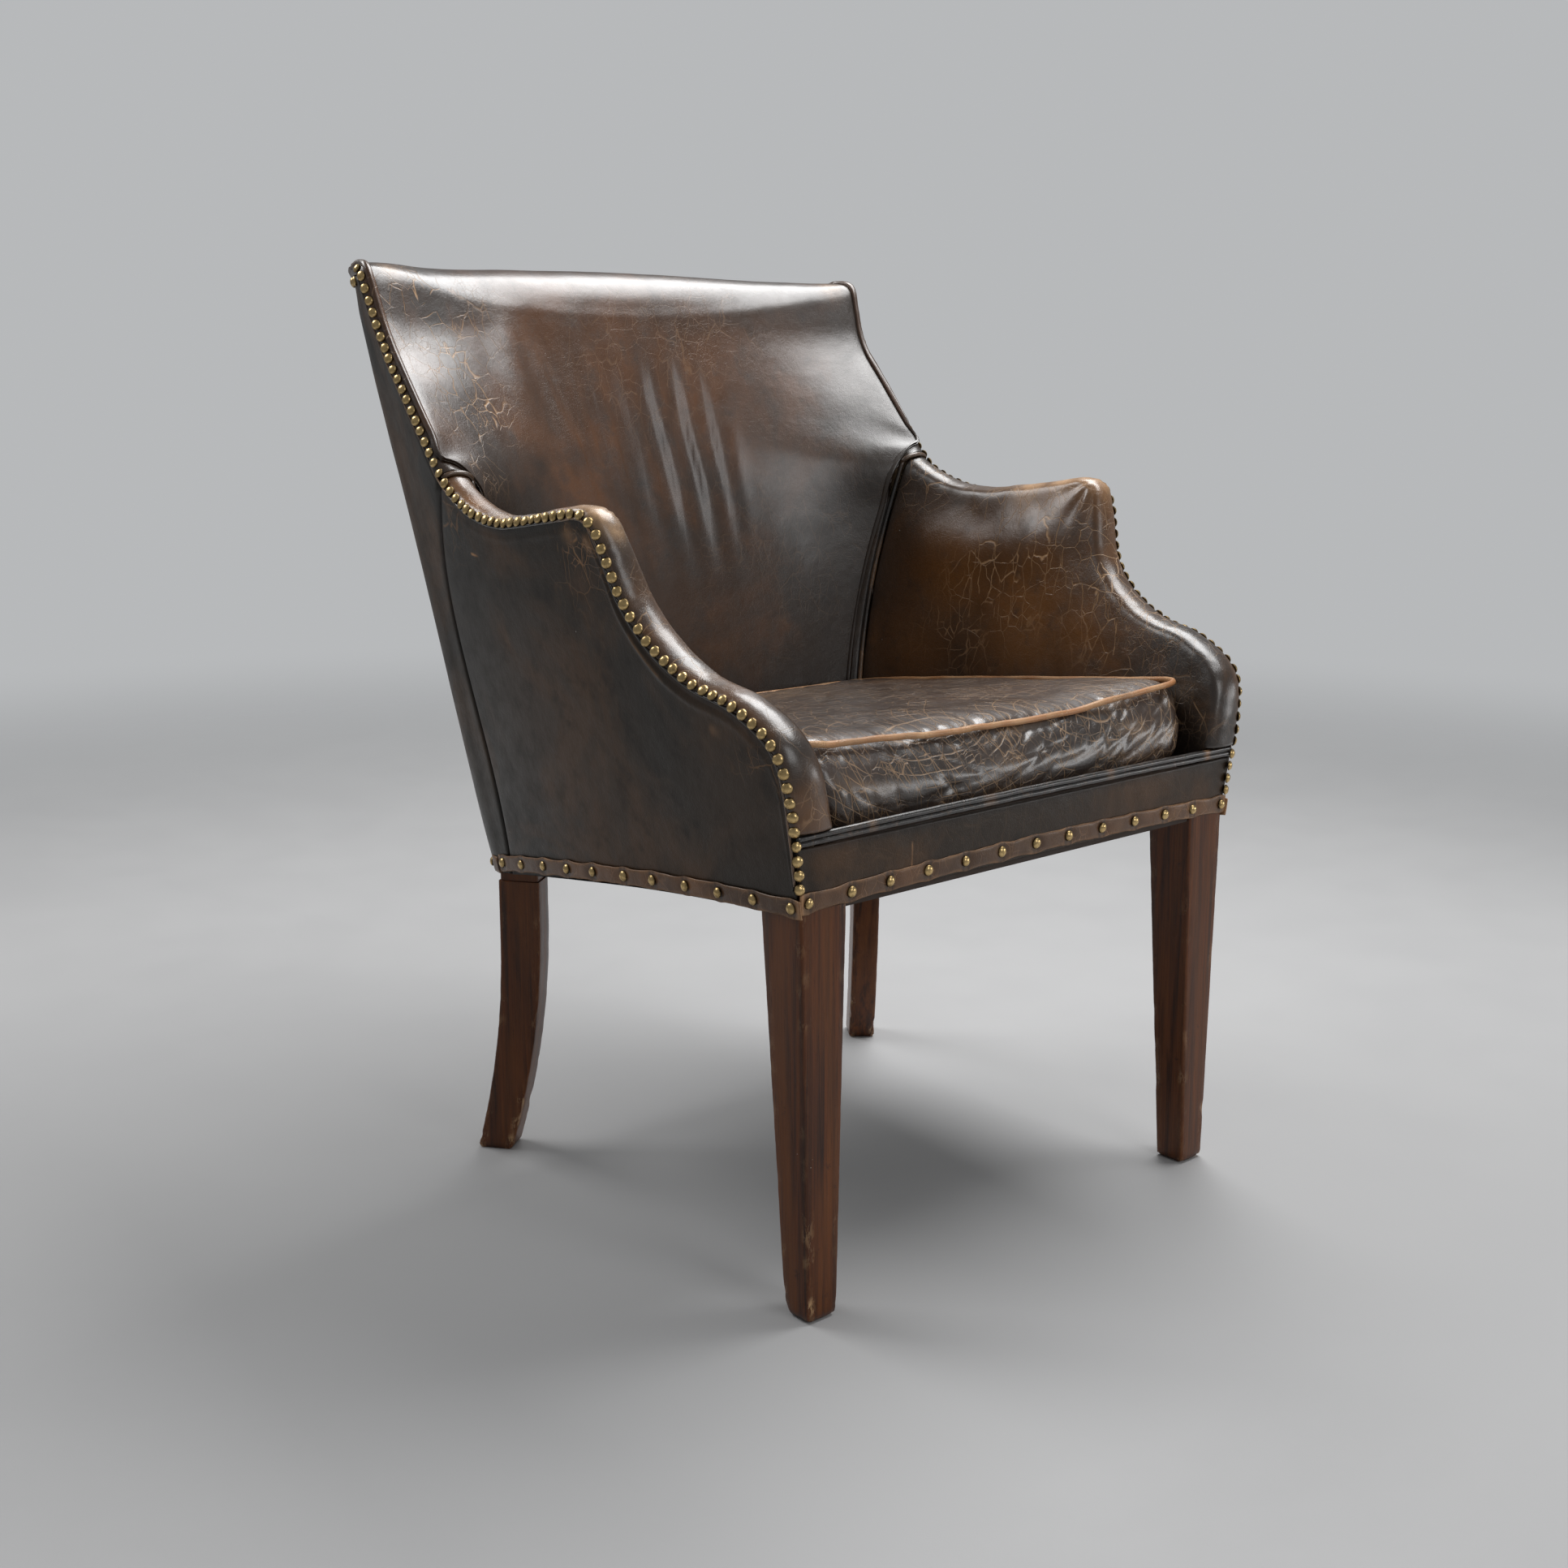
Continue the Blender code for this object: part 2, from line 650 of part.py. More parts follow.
def lower_edge_height(turn, rise=0.0):
    """Height of the outside back's lower edge, at a share of the way round from the outside seam."""
    return blend(rail_bottom(SEAT_INSIDE_DEPTH), rail_bottom(REAR_DEPTH), smooth(turn / 0.6)) + rise


def outside_back():
    """The panel round the rear, from one outside seam to the other."""
    turns = [0.0, 0.11, *CORNER_TURNS, 0.72, 0.86, 1.0]
    low_middle, high_middle = lower_edge_height(1.0), RIM_TOP - GAP * 5
    edge = outside_edge()
    low_height, high_height = edge[0][1], edge[-1][1]
    front, back = [], []
    for y_edge, z_edge in edge:
        z_mid = blend(low_middle, high_middle, (z_edge - low_height) / (high_height - low_height))
        heights = [blend(z_edge, z_mid, smooth(turn / 0.6)) for turn in turns]
        outer = [outside_path(y_edge, z, turn) for z, turn in zip(heights, turns)]
        inner = [outside_inward(y_edge, z, turn, LEATHER) for z, turn in zip(heights, turns)]
        front.append(outer + [p * (-1, 1, 1) for p in outer[-2::-1]])
        back.append(inner + [p * (-1, 1, 1) for p in inner[-2::-1]])
    return slab(front, back)


def tube(path, radius, sides=6, closed=False):
    """A round tube along a path, kept from twisting by following the vertical."""
    path = np.asarray(path)
    rings = []
    count = len(path)
    for i in range(count):
        if closed:
            along = path[(i + 1) % count] - path[i - 1]
        else:
            along = path[min(i + 1, count - 1)] - path[max(i - 1, 0)]
        along = along / np.linalg.norm(along)
        guide = np.array([0.0, 0.0, 1.0]) if abs(along[2]) < 0.75 else np.array([1.0, 0.0, 0.0])
        if not closed:
            guide = np.array([0.35, -0.9, 0.25])
        first = np.cross(along, guide)
        first /= np.linalg.norm(first)
        second = np.cross(along, first)
        angles = [2 * math.pi * k / sides for k in range(sides)]
        rings.append([path[i] + radius * (first * math.cos(a) + second * math.sin(a)) for a in angles])
    return loft(rings, closed)


def seam_welt():
    """Piping in the seam between inside arm and inside back."""
    path = [inner_seam(v) for v in np.linspace(0.97, 0.10, 16)]
    return tube(np.array(path) + np.array([-0.0012, -0.0011, 0.0]), WELT_RADIUS, 5)


def nail_row(path, outward, radius=NAIL_RADIUS, dome=NAIL_DOME):
    """Dome nails in a nearly touching row on a thin backing, as one body.

    path holds the point between each two nails, and outward the direction that each nail faces.
    """
    base, neck = 0.0006, radius * 0.45
    points, faces = [], []
    count = len(path) - 1
    for i in range(count + 1):
        along = path[min(i + 1, count)] - path[max(i - 1, 0)]
        out = outward[min(i, count - 1)] + outward[max(i - 1, 0)]
        out = out / np.linalg.norm(out)
        across = np.cross(along, out)
        across /= np.linalg.norm(across)
        for sign, lift in ((-1, 0), (1, 0), (1, base), (-1, base)):
            points.append(path[i] + sign * neck * across + lift * out)
    rings = len(points)
    for i in range(count):
        middle = (path[i] + path[i + 1]) / 2
        out = outward[i] / np.linalg.norm(outward[i])
        across = np.cross(path[i + 1] - path[i], out)
        across /= np.linalg.norm(across)
        for sign, lift in ((-1, 0), (1, 0), (1, base), (-1, base)):
            points.append(middle + sign * radius * across + lift * out)
        points.append(middle + dome * out)
        a, b, m = 4 * i, 4 * i + 4, rings + 5 * i
        faces += [(a, m, b, b + 1, m + 1, a + 1)]
        faces += [(a + 1, m + 1, m + 2, a + 2), (m + 1, b + 1, b + 2, m + 2)]
        faces += [(a, a + 3, m + 3, m), (m, m + 3, b + 3, b)]
        top = m + 4
        loop = [a + 2, m + 2, b + 2, b + 3, m + 3, a + 3]
        faces += [(p, q, top) for p, q in zip(loop, loop[1:] + loop[:1])]
    faces += [(0, 1, 2, 3), (4 * count, 4 * count + 1, 4 * count + 2, 4 * count + 3)]
    return np.array(points), faces


def roll_facet():
    """The facet of the roll that the nails are driven into, from edge to edge at each station.

    It runs up the arm, along it, up the wing and over the back's top corner.
    """
    low = [wall_point(s, 0.0, 0.0) for s in ARM_STATIONS]
    high = [arm_inside_point(s, 0.09, 0.0) for s in ARM_STATIONS]
    foot = wall_point(0.0, 0.0, 0.0)
    low, high = [foot, *low], [foot + high[0] - low[0], *high]
    for row in inside_back_rows()[SEAM_ROWS + 3 : -1]:
        low.append(inside_back_point(row, 2.0))
        high.append(inside_back_point(row, 1.67))
    return np.array(low), np.array(high)


def nail_trim():
    """The row of nails up one side of the rim."""
    low, high = roll_facet()
    middle = (low + high) / 2
    lengths = np.concatenate([[0.0], np.cumsum(np.linalg.norm(np.diff(middle, axis=0), axis=1))])
    count = round(lengths[-1] / NAIL_PITCH)
    marks = np.linspace(0.0, lengths[-1], 2 * count + 1)
    low, high = (np.array([np.interp(marks, lengths, e[:, k]) for k in range(3)]).T for e in (low, high))
    middle = (low + high) / 2
    outward = np.cross(np.gradient(middle, axis=0), high - low)
    outward /= np.linalg.norm(outward, axis=1, keepdims=True)
    return nail_row((middle + outward * NAIL_LIFT)[::2], outward[1::2])


def rear_nail_trim():
    """The row goes on across the top of the outside back."""
    z = RIM_TOP - NAIL_INSET - 0.001
    turns = np.linspace(0.36, 1.0, 400)
    half = np.array([outside_inward(RIM[-1][0], z, t, -3 * GAP) for t in turns])
    whole = np.concatenate([half, mirrored(half[-2::-1])])
    lengths = np.concatenate([[0.0], np.cumsum(np.linalg.norm(np.diff(whole, axis=0), axis=1))])
    count = round(lengths[-1] / NAIL_PITCH)
    marks = np.linspace(0, lengths[-1], count + 1)
    path = np.array([[np.interp(m, lengths, whole[:, k]) for k in range(3)] for m in marks])
    lean = (rear_corner_y(RIM_TOP) - rear_corner_y(RIM_TOP - 0.01)) / 0.01
    return nail_row(path, np.cross(np.diff(path, axis=0), (0.0, lean, 1.0)))


def band(lower, upper, outward):
    """The leather strip between two edge lines, with its spaced nails, as one body."""
    lengths = np.concatenate([[0.0], np.cumsum(np.linalg.norm(np.diff(lower, axis=0), axis=1))])

    def read(curve, mark):
        return np.array([np.interp(mark, lengths, curve[:, k]) for k in range(3)])

    def facing(mark):
        out = read(outward, mark)
        return out / np.linalg.norm(out)

    count = round(lengths[-1] / BAND_NAIL_PITCH)
    marks, nails = [0.0], []
    for spot in (np.arange(count) + 0.5) / count * lengths[-1]:
        start, end = marks[-1], spot - NAIL_RADIUS
        if np.dot(facing(start), facing(end)) < 0.995:
            marks += [blend(start, end, 1 / 3), blend(start, end, 2 / 3)]
        nails.append(len(marks))
        marks += [end, spot + NAIL_RADIUS]
    marks.append(lengths[-1])
    points, faces = [], []
    for mark in marks:
        low, high, out = read(lower, mark), read(upper, mark), facing(mark) * BAND_THICKNESS
        points += [low, high, high + out, low + out]
    for i in range(len(marks) - 1):
        a, b = 4 * i, 4 * i + 4
        faces += [(a, b, b + 1, a + 1), (a + 1, b + 1, b + 2, a + 2), (a + 3, b + 3, b, a)]
        if i not in nails:
            faces.append((a + 2, b + 2, b + 3, a + 3))
    for i in nails:
        a, b = 4 * i, 4 * i + 4
        out = facing((marks[i] + marks[i + 1]) / 2)
        centre = (points[a + 2] + points[b + 2] + points[a + 3] + points[b + 3]) / 4
        along, up = points[a + 2] - points[b + 2], points[a + 2] - points[a + 3]
        along, up = along / np.linalg.norm(along), up / np.linalg.norm(up)
        first = len(points)
        for step in range(6):
            angle = math.radians(60 * step)
            points.append(centre + NAIL_RADIUS * 0.92 * (math.cos(angle) * along + math.sin(angle) * up))
        points.append(centre + out * NAIL_DOME)
        ring = [first + step for step in range(6)]
        faces += [(p, q, first + 6) for p, q in zip(ring, ring[1:] + ring[:1])]
        faces += [(a + 2, ring[0], ring[1]), (a + 2, ring[1], ring[2], b + 2), (b + 2, ring[2], ring[3])]
        faces += [(b + 3, b + 2, ring[3]), (b + 3, ring[3], ring[4]), (b + 3, ring[4], ring[5], a + 3)]
        faces += [(a + 3, ring[5], ring[0]), (a + 3, ring[0], a + 2)]
    end = 4 * (len(marks) - 1)
    faces += [(0, 1, 2, 3), (end, end + 1, end + 2, end + 3)]
    return np.array(points), faces


def front_band():
    """The strip along the front's lower edge."""
    half = side_x(0.0, RAIL_HEIGHT) - GAP
    xs = np.linspace(-half, half, 60)
    heights = RAIL_HEIGHT + FRONT_BAND_RISE + BAND_ARCH * (1 - (xs / half) ** 2)
    lower = np.array([(x, -LEATHER - 3 * GAP, z) for x, z in zip(xs, heights)])
    return band(lower, lower + (0.0, 0.0, BAND_HEIGHT), np.tile((0.0, -1.0, 0.0), (len(xs), 1)))


def side_band():
    """From the front corner along the side and round to the middle of the back."""
    edges = []
    for rise in (0.0, BAND_HEIGHT):
        path = []
        for y in np.linspace(-0.004, SEAT_INSIDE_DEPTH, 50):
            z = rail_bottom(y) + rise
            path.append((side_x(y, z), y, z))
        for turn in np.linspace(0.0, 1.0, 80)[1:]:
            x, y, z = outside_path(SEAT_INSIDE_DEPTH, lower_edge_height(turn, rise), turn)
            path.append((max(x, GAP), y, z))
        edges.append(np.array(path))
    lower, upper = edges
    outward = np.cross(np.gradient(lower, axis=0), (0.0, 0.0, 1.0))
    outward /= np.linalg.norm(outward, axis=1, keepdims=True)
    lift = outward * 3 * GAP
    return band(lower + lift, upper + lift, outward)


def front_cover():
    """The leather on the front rail."""
    grid = []
    for share in np.linspace(-1, 1, 9):
        column = []
        for z in np.linspace(RAIL_HEIGHT + GAP, DECK_HEIGHT - 0.001, 3):
            column.append((share * (side_x(0.0, z) - LEATHER - GAP), -GAP - LEATHER, z))
        grid.append(column)
    front = np.array(grid)
    return slab(front, front + np.array([0.0, LEATHER, 0.0]))


def double_piping():
    """Two welts one above the other along the top of the front rail, sewn from one strip."""
    r = DOUBLE_WELT_RADIUS
    half = side_x(0.0, DECK_HEIGHT) - LEATHER - GAP
    rings = []
    for x in np.linspace(-half, half, 13):
        middle = DECK_HEIGHT + 2 * r + 0.0015 * (1 - (x / half) ** 2)
        ring = []
        for shift, start in ((0.9 * r, -50), (-0.9 * r, 130)):
            for k in range(5):
                angle = math.radians(start + 70 * k)
                y, z = -LEATHER - GAP + r * math.cos(angle), middle + shift + r * math.sin(angle)
                ring.append((x, y, z))
        rings.append(ring)
    return loft(rings)


def leg_ring(x0, x1, y0, y1, z, chamfer):
    """A rectangle with its corners cut off."""
    c = chamfer
    corners = [(x0 + c, y0), (x1 - c, y0), (x1, y0 + c), (x1, y1 - c)]
    corners += [(x1 - c, y1), (x0 + c, y1), (x0, y1 - c), (x0, y0 + c)]
    return [(x, y, z) for x, y in corners]


def front_leg():
    """Square and tapered, with its top inside the seat frame."""
    outer = SEAT_HALF_WIDTH - GAP
    shoulder, top = rail_bottom(FRONT_LEG_TOP) - 2 * GAP, DECK_HEIGHT - 0.010
    foot_outer = outer - FRONT_LEG_TUCK
    sole = 0.004
    c = LEG_CHAMFER
    a, b = FRONT_LEG_TOP, FRONT_LEG_FOOT
    kick = -FRONT_LEG_KICK
    rings = [leg_ring(foot_outer - b + sole / 2, foot_outer - sole / 2, kick + sole / 2, kick + b, 0.0, c)]
    rings.append(leg_ring(foot_outer - b, foot_outer, kick, kick + b, sole, c))
    rings.append(leg_ring(outer - a, outer, -LEATHER, a - LEATHER, shoulder, c))
    block_outer = SEAT_HALF_WIDTH - LEATHER - WOOD_CLEARANCE
    rings.append(leg_ring(outer - a, block_outer, 0.0, a - LEATHER, shoulder + GAP / 2, c / 2))
    rings.append(leg_ring(outer - a, block_outer, 0.0, a - LEATHER, top, c / 2))
    return loft(rings)


def sabre_offset(z):
    """How far the back leg has swept outwards at this height."""
    return BACK_LEG_SWEEP * max(1 - z / SWEEP_HEIGHT, 0.0) ** 2


def back_leg_ring(z, rebated):
    """Section of the back leg, which becomes the upright of the back. Leather covers it where it is rebated."""
    upright = smooth((z - LEG_SHOULDER) / 0.13)
    angle = BACK_LEG_ANGLE * (1 - upright)
    sweep = np.array([math.sin(angle), math.cos(angle)])
    inward = np.array([-math.cos(angle), math.sin(angle)])
    direction = np.array([math.sin(BACK_LEG_ANGLE), math.cos(BACK_LEG_ANGLE)])
    leg = np.array([BACK_LEG_X, BACK_LEG_Y]) + sabre_offset(z) * direction
    corner = np.array([side_x(rear_corner_y(z), z), rear_corner_y(z)])
    centre = blend(leg, corner - POST_INSET, upright)
    width = blend(BACK_LEG_FOOT_WIDTH, BACK_LEG_WIDTH, min(z / SWEEP_HEIGHT, 1.0))
    width = blend(width, POST_SIDE, upright) / 2
    thick = blend(BACK_LEG_THICKNESS, POST_SIDE, upright) / 2
    c = LEG_CHAMFER
    shape = [(-width + c, -thick), (width - c, -thick), (width, -thick + c), (width, thick - c)]
    shape += [(width - c, thick), (-width + c, thick), (-width, thick - c), (-width, -thick + c)]
    ring = []
    for a, b in shape:
        x, y = centre + sweep * a + inward * b
        if rebated:
            x = min(x, side_x(y, z) - LEATHER - WOOD_CLEARANCE)
        ring.append((x, y, z))
    return ring


def back_leg():
    """One piece from the sabre foot to the top of the back."""
    foot = [0.0, 0.025, 0.055, 0.085, 0.120, 0.160, 0.200, SWEEP_HEIGHT, LEG_SHOULDER]
    rings = [back_leg_ring(z, False) for z in foot]
    post = [LEG_SHOULDER + rise for rise in (GAP, 0.0255, 0.0505, 0.0805, 0.1155)]
    post += [blend(post[-1], RIM_TOP - 0.029, share) for share in (0.23, 0.46, 0.69, 1.0)]
    rings += [back_leg_ring(z, True) for z in post]
    return loft(rings)


def side_board(ring_edges):
    """A board just inside the side leather: each ring is given by its two edges in the side view."""
    rings = []
    for edges in ring_edges:
        (y0, z0), (y1, z1) = edges
        beneath = LEATHER + WOOD_CLEARANCE
        outer0, outer1 = side_x(y0, z0) - beneath, side_x(y1, z1) - beneath
        ring = [(outer0, y0, z0), (outer1, y1, z1)]
        ring += [(outer1 - RAIL_THICKNESS, y1, z1), (outer0 - RAIL_THICKNESS, y0, z0)]
        rings.append(ring)
    return loft(rings)


def side_rail():
    """The seat rail between front and back leg."""
    beneath = LEATHER + WOOD_CLEARANCE
    rings = []
    for y in np.linspace(FRONT_LEG_TOP - LEATHER + GAP, BACK_LEG_Y - 0.029, 7):
        ring = []
        for inward, high in ((0, 0), (0, 1), (1, 1), (1, 0)):
            z = deck(y) - 0.006 if high else rail_bottom(y) + 2 * GAP
            ring.append((side_x(y, z) - beneath - inward * RAIL_THICKNESS, y, z))
        rings.append(ring)
    return loft(rings)


def front_rail():
    """The seat rail between the front legs."""
    half = SEAT_HALF_WIDTH - GAP - FRONT_LEG_TOP - GAP
    z0, z1 = RAIL_HEIGHT + 2 * GAP, DECK_HEIGHT - 0.006
    rings = [[(x, 0.0, z0), (x, 0.0, z1), (x, RAIL_THICKNESS, z1), (x, RAIL_THICKNESS, z0)] for x in (-half, half)]
    return loft(rings)


def post_inner_x(z):
    """Half the clear width between the uprights of the back."""
    return side_x(rear_corner_y(z), z) - POST_INSET - POST_SIDE / 2 - GAP


def rear_rail(half_width, z0, z1, inset, count=9):
    """A rail across the back, bowed like the outside back and raked with it."""
    rings = []
    for x in np.linspace(-half_width, half_width, count):
        ring = []
        for z, depth in ((z0, 0), (z1, 0), (z1, 1), (z0, 1)):
            ring.append((x, rear_y(x, z) - inset - depth * RAIL_THICKNESS, z))
        rings.append(ring)
    return loft(rings)


def arm_stump():
    """The shaped board under the arm's front: up from the seat frame, over the elbow to the knuckle."""
    start = ARM_START
    end = rim_at_depth(0.190)
    low = DECK_HEIGHT - 0.006 + GAP
    rings = [((0.001, low), (0.025, low))]
    for s in rim_stations(start + 0.012, end, 13):
        near, far = rim_side(s) - rim_out(s) * 0.0030, rim_side(s) - rim_out(s) * 0.0260
        rings.append((tuple(near), tuple(far)))
    knuckle_low = ARM_HEIGHT - 0.0325
    rings.append(((0.1965, knuckle_low), (0.2200, knuckle_low)))
    return side_board(rings)


def arm_rail():
    """From the knuckle along the arm to the upright of the back."""
    rings = []
    for y in (0.2065, 0.24, 0.27, SEAM_DEPTH - 0.155, SEAM_DEPTH - 0.112, SEAM_DEPTH - 0.053):
        _, z = rim_side(rim_at_depth(y))
        top = z - 0.0035
        rings.append(((y, top - 0.0245), (y, top)))
    z = ARM_HEIGHT - 0.012
    y_end = rear_corner_y(z - 0.0245) - POST_INSET - POST_SIDE / 2 - GAP
    for y in (SEAM_DEPTH + 0.003, SEAM_DEPTH + 0.043, y_end):
        rings.append(((y, z - 0.0245), (y, z)))
    return side_board(rings)


def wing_board():
    """Stands on the arm rail and follows the rim up the wing to the top rail."""
    low = ARM_HEIGHT - 0.012 + GAP
    rings = [((SEAM_DEPTH + 0.007, low), (SEAM_DEPTH + 0.033, low))]
    for s in rim_stations(rim_at_depth(SEAM_DEPTH + 0.025), RIM_LENGTH - 0.014, 9):
        near, far = rim_side(s) - rim_out(s) * 0.003, rim_side(s) - rim_out(s) * 0.028
        rings.append((tuple(near), tuple(far)))
    return side_board(rings)


def web_marks(count, width):
    """Shares of a mat's side where its strips begin and end."""
    middles = [(k + 0.5) / count for k in range(count)]
    return [0.0, *(m + turn * width / 2 for m in middles for turn in (-1, 1)), 1.0]


def web_mat(us, vs, place):
    """Crossing strips as one mat: place(u, v, lift) gives points of it."""
    cells = [(i, j) for i in range(len(us) - 1) for j in range(len(vs) - 1) if i % 2 or j % 2]
    index, points, faces = {}, [], []

    def corner(i, j, lift):
        key = (i, j, lift)
        if key not in index:
            index[key] = len(points)
            points.append(place(us[i], vs[j], lift))
        return index[key]

    for i, j in cells:
        square = ((i, j), (i + 1, j), (i + 1, j + 1), (i, j + 1))
        faces.append(tuple(corner(a, b, 1) for a, b in square))
        faces.append(tuple(corner(a, b, 0) for a, b in reversed(square)))
        beside = ((i, j - 1), (i + 1, j), (i, j + 1), (i - 1, j))
        for (a, b), (c, d), other in zip(square, square[1:] + square[:1], beside):
            if other not in cells:
                faces.append((corner(a, b, 0), corner(c, d, 0), corner(c, d, 1), corner(a, b, 1)))
    return np.array(points), faces


def seat_depths():
    """Depths at which the seat's webbing strips begin and end."""
    return [blend(FRONT_LEG_TOP + 0.001, BACK_LEG_Y - 0.034, v) for v in web_marks(3, 0.16)]


def seat_webbing():
    """Tacked under the seat rails."""
    def place(u, y, lift):
        x = blend(-1, 1, u) * (side_x(y, RAIL_HEIGHT) - LEATHER - RAIL_THICKNESS + 0.004)
        return x, y, rail_bottom(y) - WEB_THICKNESS * (1 - lift)
    return web_mat(web_marks(4, 0.16), seat_depths(), place)


def back_webbing():
    """Tacked to the front of the back rails."""
    def place(u, v, lift):
        z = blend(DECK_HEIGHT + 0.012, RIM_TOP - 0.041, v)
        x = blend(-1, 1, u) * (SEAT_HALF_WIDTH - 0.076)
        return x, rear_y(x, z) - POST_INSET - POST_SIDE / 2 - GAP - WEB_THICKNESS * lift, z
    return web_mat(web_marks(3, 0.18), web_marks(3, 0.18), place)


def seat_pad():
    """Stuffing on the webbing, inside the seat frame, under the loose cushion."""
    front = RAIL_THICKNESS + 2 * GAP
    between_legs = SEAT_HALF_WIDTH - FRONT_LEG_TOP - 3 * GAP
    depths = [(front, between_legs), (FRONT_LEG_TOP, between_legs)]
    depths += [(y, side_x(y, RAIL_HEIGHT) - ARM_THICKNESS - CUSHION_CLEARANCE) for y in seat_depths()]
    depths.append((BACK_LEG_Y - 0.003, BACK_LEG_X - 0.034))
    rings = []
    for y, half in depths:
        z0, z1 = rail_bottom(y) + GAP, deck(y)
        rings.append([(-half, y, z0), (half, y, z0), (half, y, z1), (-half, y, z1)])
    return loft(rings)


def cushion_half_width(y, z):
    """Half the clear width between the arms, less a little play."""
    return side_x(y, z) - wall(z) - CUSHION_CLEARANCE


def cushion_outline(lean, inset, height):
    """Plan outline of the cushion: it fits between the arms, with round corners.

    height is the share of the way from the cushion's underside to its top, where the arms are wider apart.
    """
    front, rear = CUSHION_FRONT + lean + inset, CUSHION_REAR - inset

    def half_width(y):
        return cushion_half_width(y, blend(deck(y), CUSHION_HEIGHT - SEAT_SLOPE * y, height)) - inset

    half = []
    for radius, edge, turn in ((FRONT_CORNER, front, -1), (REAR_CORNER, rear, 1)):
        centre_y = edge - turn * radius
        centre_x = half_width(centre_y) - radius
        run = [(centre_x * share, edge) for share in (0.2, 0.6)]
        for angle in np.radians([90, 60, 30, 0]):
            run.append((centre_x + radius * math.cos(angle), centre_y + turn * radius * math.sin(angle)))
        half += run if turn < 0 else run[::-1]
        if turn < 0:
            for share in (0.25, 0.5, 0.75):
                y = blend(centre_y, rear - REAR_CORNER, share)
                half.append((half_width(y), y))
    return half + [(-x, y) for x, y in half[::-1]]


def cushion_top(x, y):
    """Height of the cushion's top: it slopes back, sags at the front edge and is slightly crowned."""
    across = min(abs(x) / SEAT_HALF_WIDTH, 1.0)
    sag = CUSHION_SAG * (1 - (across / 0.84) ** 2) * math.exp(-max(y, 0) / 0.09)
    deep = min(max(y / CUSHION_REAR, 0.0), 1.0)
    crown = CUSHION_CROWN * (1 - across**2) * math.sin(math.pi * deep)
    return CUSHION_HEIGHT - SEAT_SLOPE * y - sag + crown


def cushion():
    """Closed crowned form, built of rings from the middle of its underside to the middle of its top."""
    rings = []
    centre = np.array([0.0, (CUSHION_FRONT + CUSHION_REAR) / 2])
    base = GAP * 2
    for shrink in (0.45, 0.85):
        outline = np.array(cushion_outline(0.0, 0.010, 0.0)) - centre
        rings.append([(x, y, deck(y) + base) for x, y in outline * shrink + centre])
    for lean, inset, height in ((0.0, 0.006, 0.0), (0.0, 0.0, 0.16), (0.002, 0.0, 0.45), (0.010, 0.001, 0.75)):
        ring = []
        for x, y in cushion_outline(lean, inset, height):
            low, high = deck(y) + base, cushion_top(x, y) - 2 * PIPING_RADIUS
            ring.append((x, y, blend(low, high, height + 0.02)))
        rings.append(ring)
    channel = PIPING_RADIUS + 2 * GAP
    for across, up in ((0.0, -1.0), (0.7, -0.7), (1.0, 0.0), (1.45, 0.4)):
        outline = cushion_outline(CUSHION_LEAN, PIPING_INSET + across * channel, 0.9)
        rings.append([(x, y, cushion_top(x, y) - PIPING_DROP + up * channel) for x, y in outline])
    outline = np.array(outline) - centre
    for shrink in (0.82, 0.58, 0.30):
        rings.append([(x, y, cushion_top(x, y)) for x, y in outline * shrink + centre])
    return loft(rings)


def cushion_piping():
    """The light welt round the top edge of the cushion, in a channel of the cushion's edge."""
    outline = cushion_outline(CUSHION_LEAN, PIPING_INSET, 0.9)
    return tube([(x, y, cushion_top(x, y) - PIPING_DROP) for x, y in outline], PIPING_RADIUS, 6, closed=True)


def dust_cloth():
    """Thin cloth under the webbing, closing the seat from below."""
    front, back = [], []
    for y in seat_depths():
        z = rail_bottom(y) - WEB_THICKNESS - GAP
        half = side_x(y, RAIL_HEIGHT) - LEATHER - 0.004
        row = [(x, y, z) for x in np.linspace(-half, half, 4)]
        front.append(row)
        back.append([(x, y, z - 0.0008) for x, y, z in row])
    return slab(front, back)


def build_frame(root):
    add_pair("front_leg", front_leg(), "mahogany", root)
    add_pair("back_leg", back_leg(), "mahogany", root)
    add_piece("front_rail", front_rail(), "frame_wood", root)
    add_pair("side_rail", side_rail(), "frame_wood", root)
    rear_low = rail_bottom(REAR_DEPTH) + 0.003
    inset = LEATHER + WOOD_CLEARANCE
    add_piece("back_rail", rear_rail(0.205, rear_low, rear_low + 0.042, inset), "frame_wood", root)
    inset = POST_INSET + POST_SIDE / 2 - RAIL_THICKNESS
    stay, top = DECK_HEIGHT - 0.013, RIM_TOP - 0.066
    add_piece("stay_rail", rear_rail(post_inner_x(stay), stay, stay + 0.040, inset), "frame_wood", root)
    add_piece("top_rail", rear_rail(post_inner_x(top), top, top + 0.036, inset), "frame_wood", root)
    add_pair("arm_stump", arm_stump(), "frame_wood", root)
    add_pair("arm_rail", arm_rail(), "frame_wood", root)
    add_pair("wing_board", wing_board(), "frame_wood", root)


def build_stuffing(root):
    add_piece("seat_webbing", seat_webbing(), "webbing", root)
    add_piece("back_webbing", back_webbing(), "webbing", root)
    add_piece("seat_pad", seat_pad(), "stuffing", root)
    add_piece("back_padding", back_padding(), "stuffing", root)
    add_pair("arm_padding", arm_padding(), "stuffing", root)
    add_piece("dust_cloth", dust_cloth(), "dust_cloth", root)


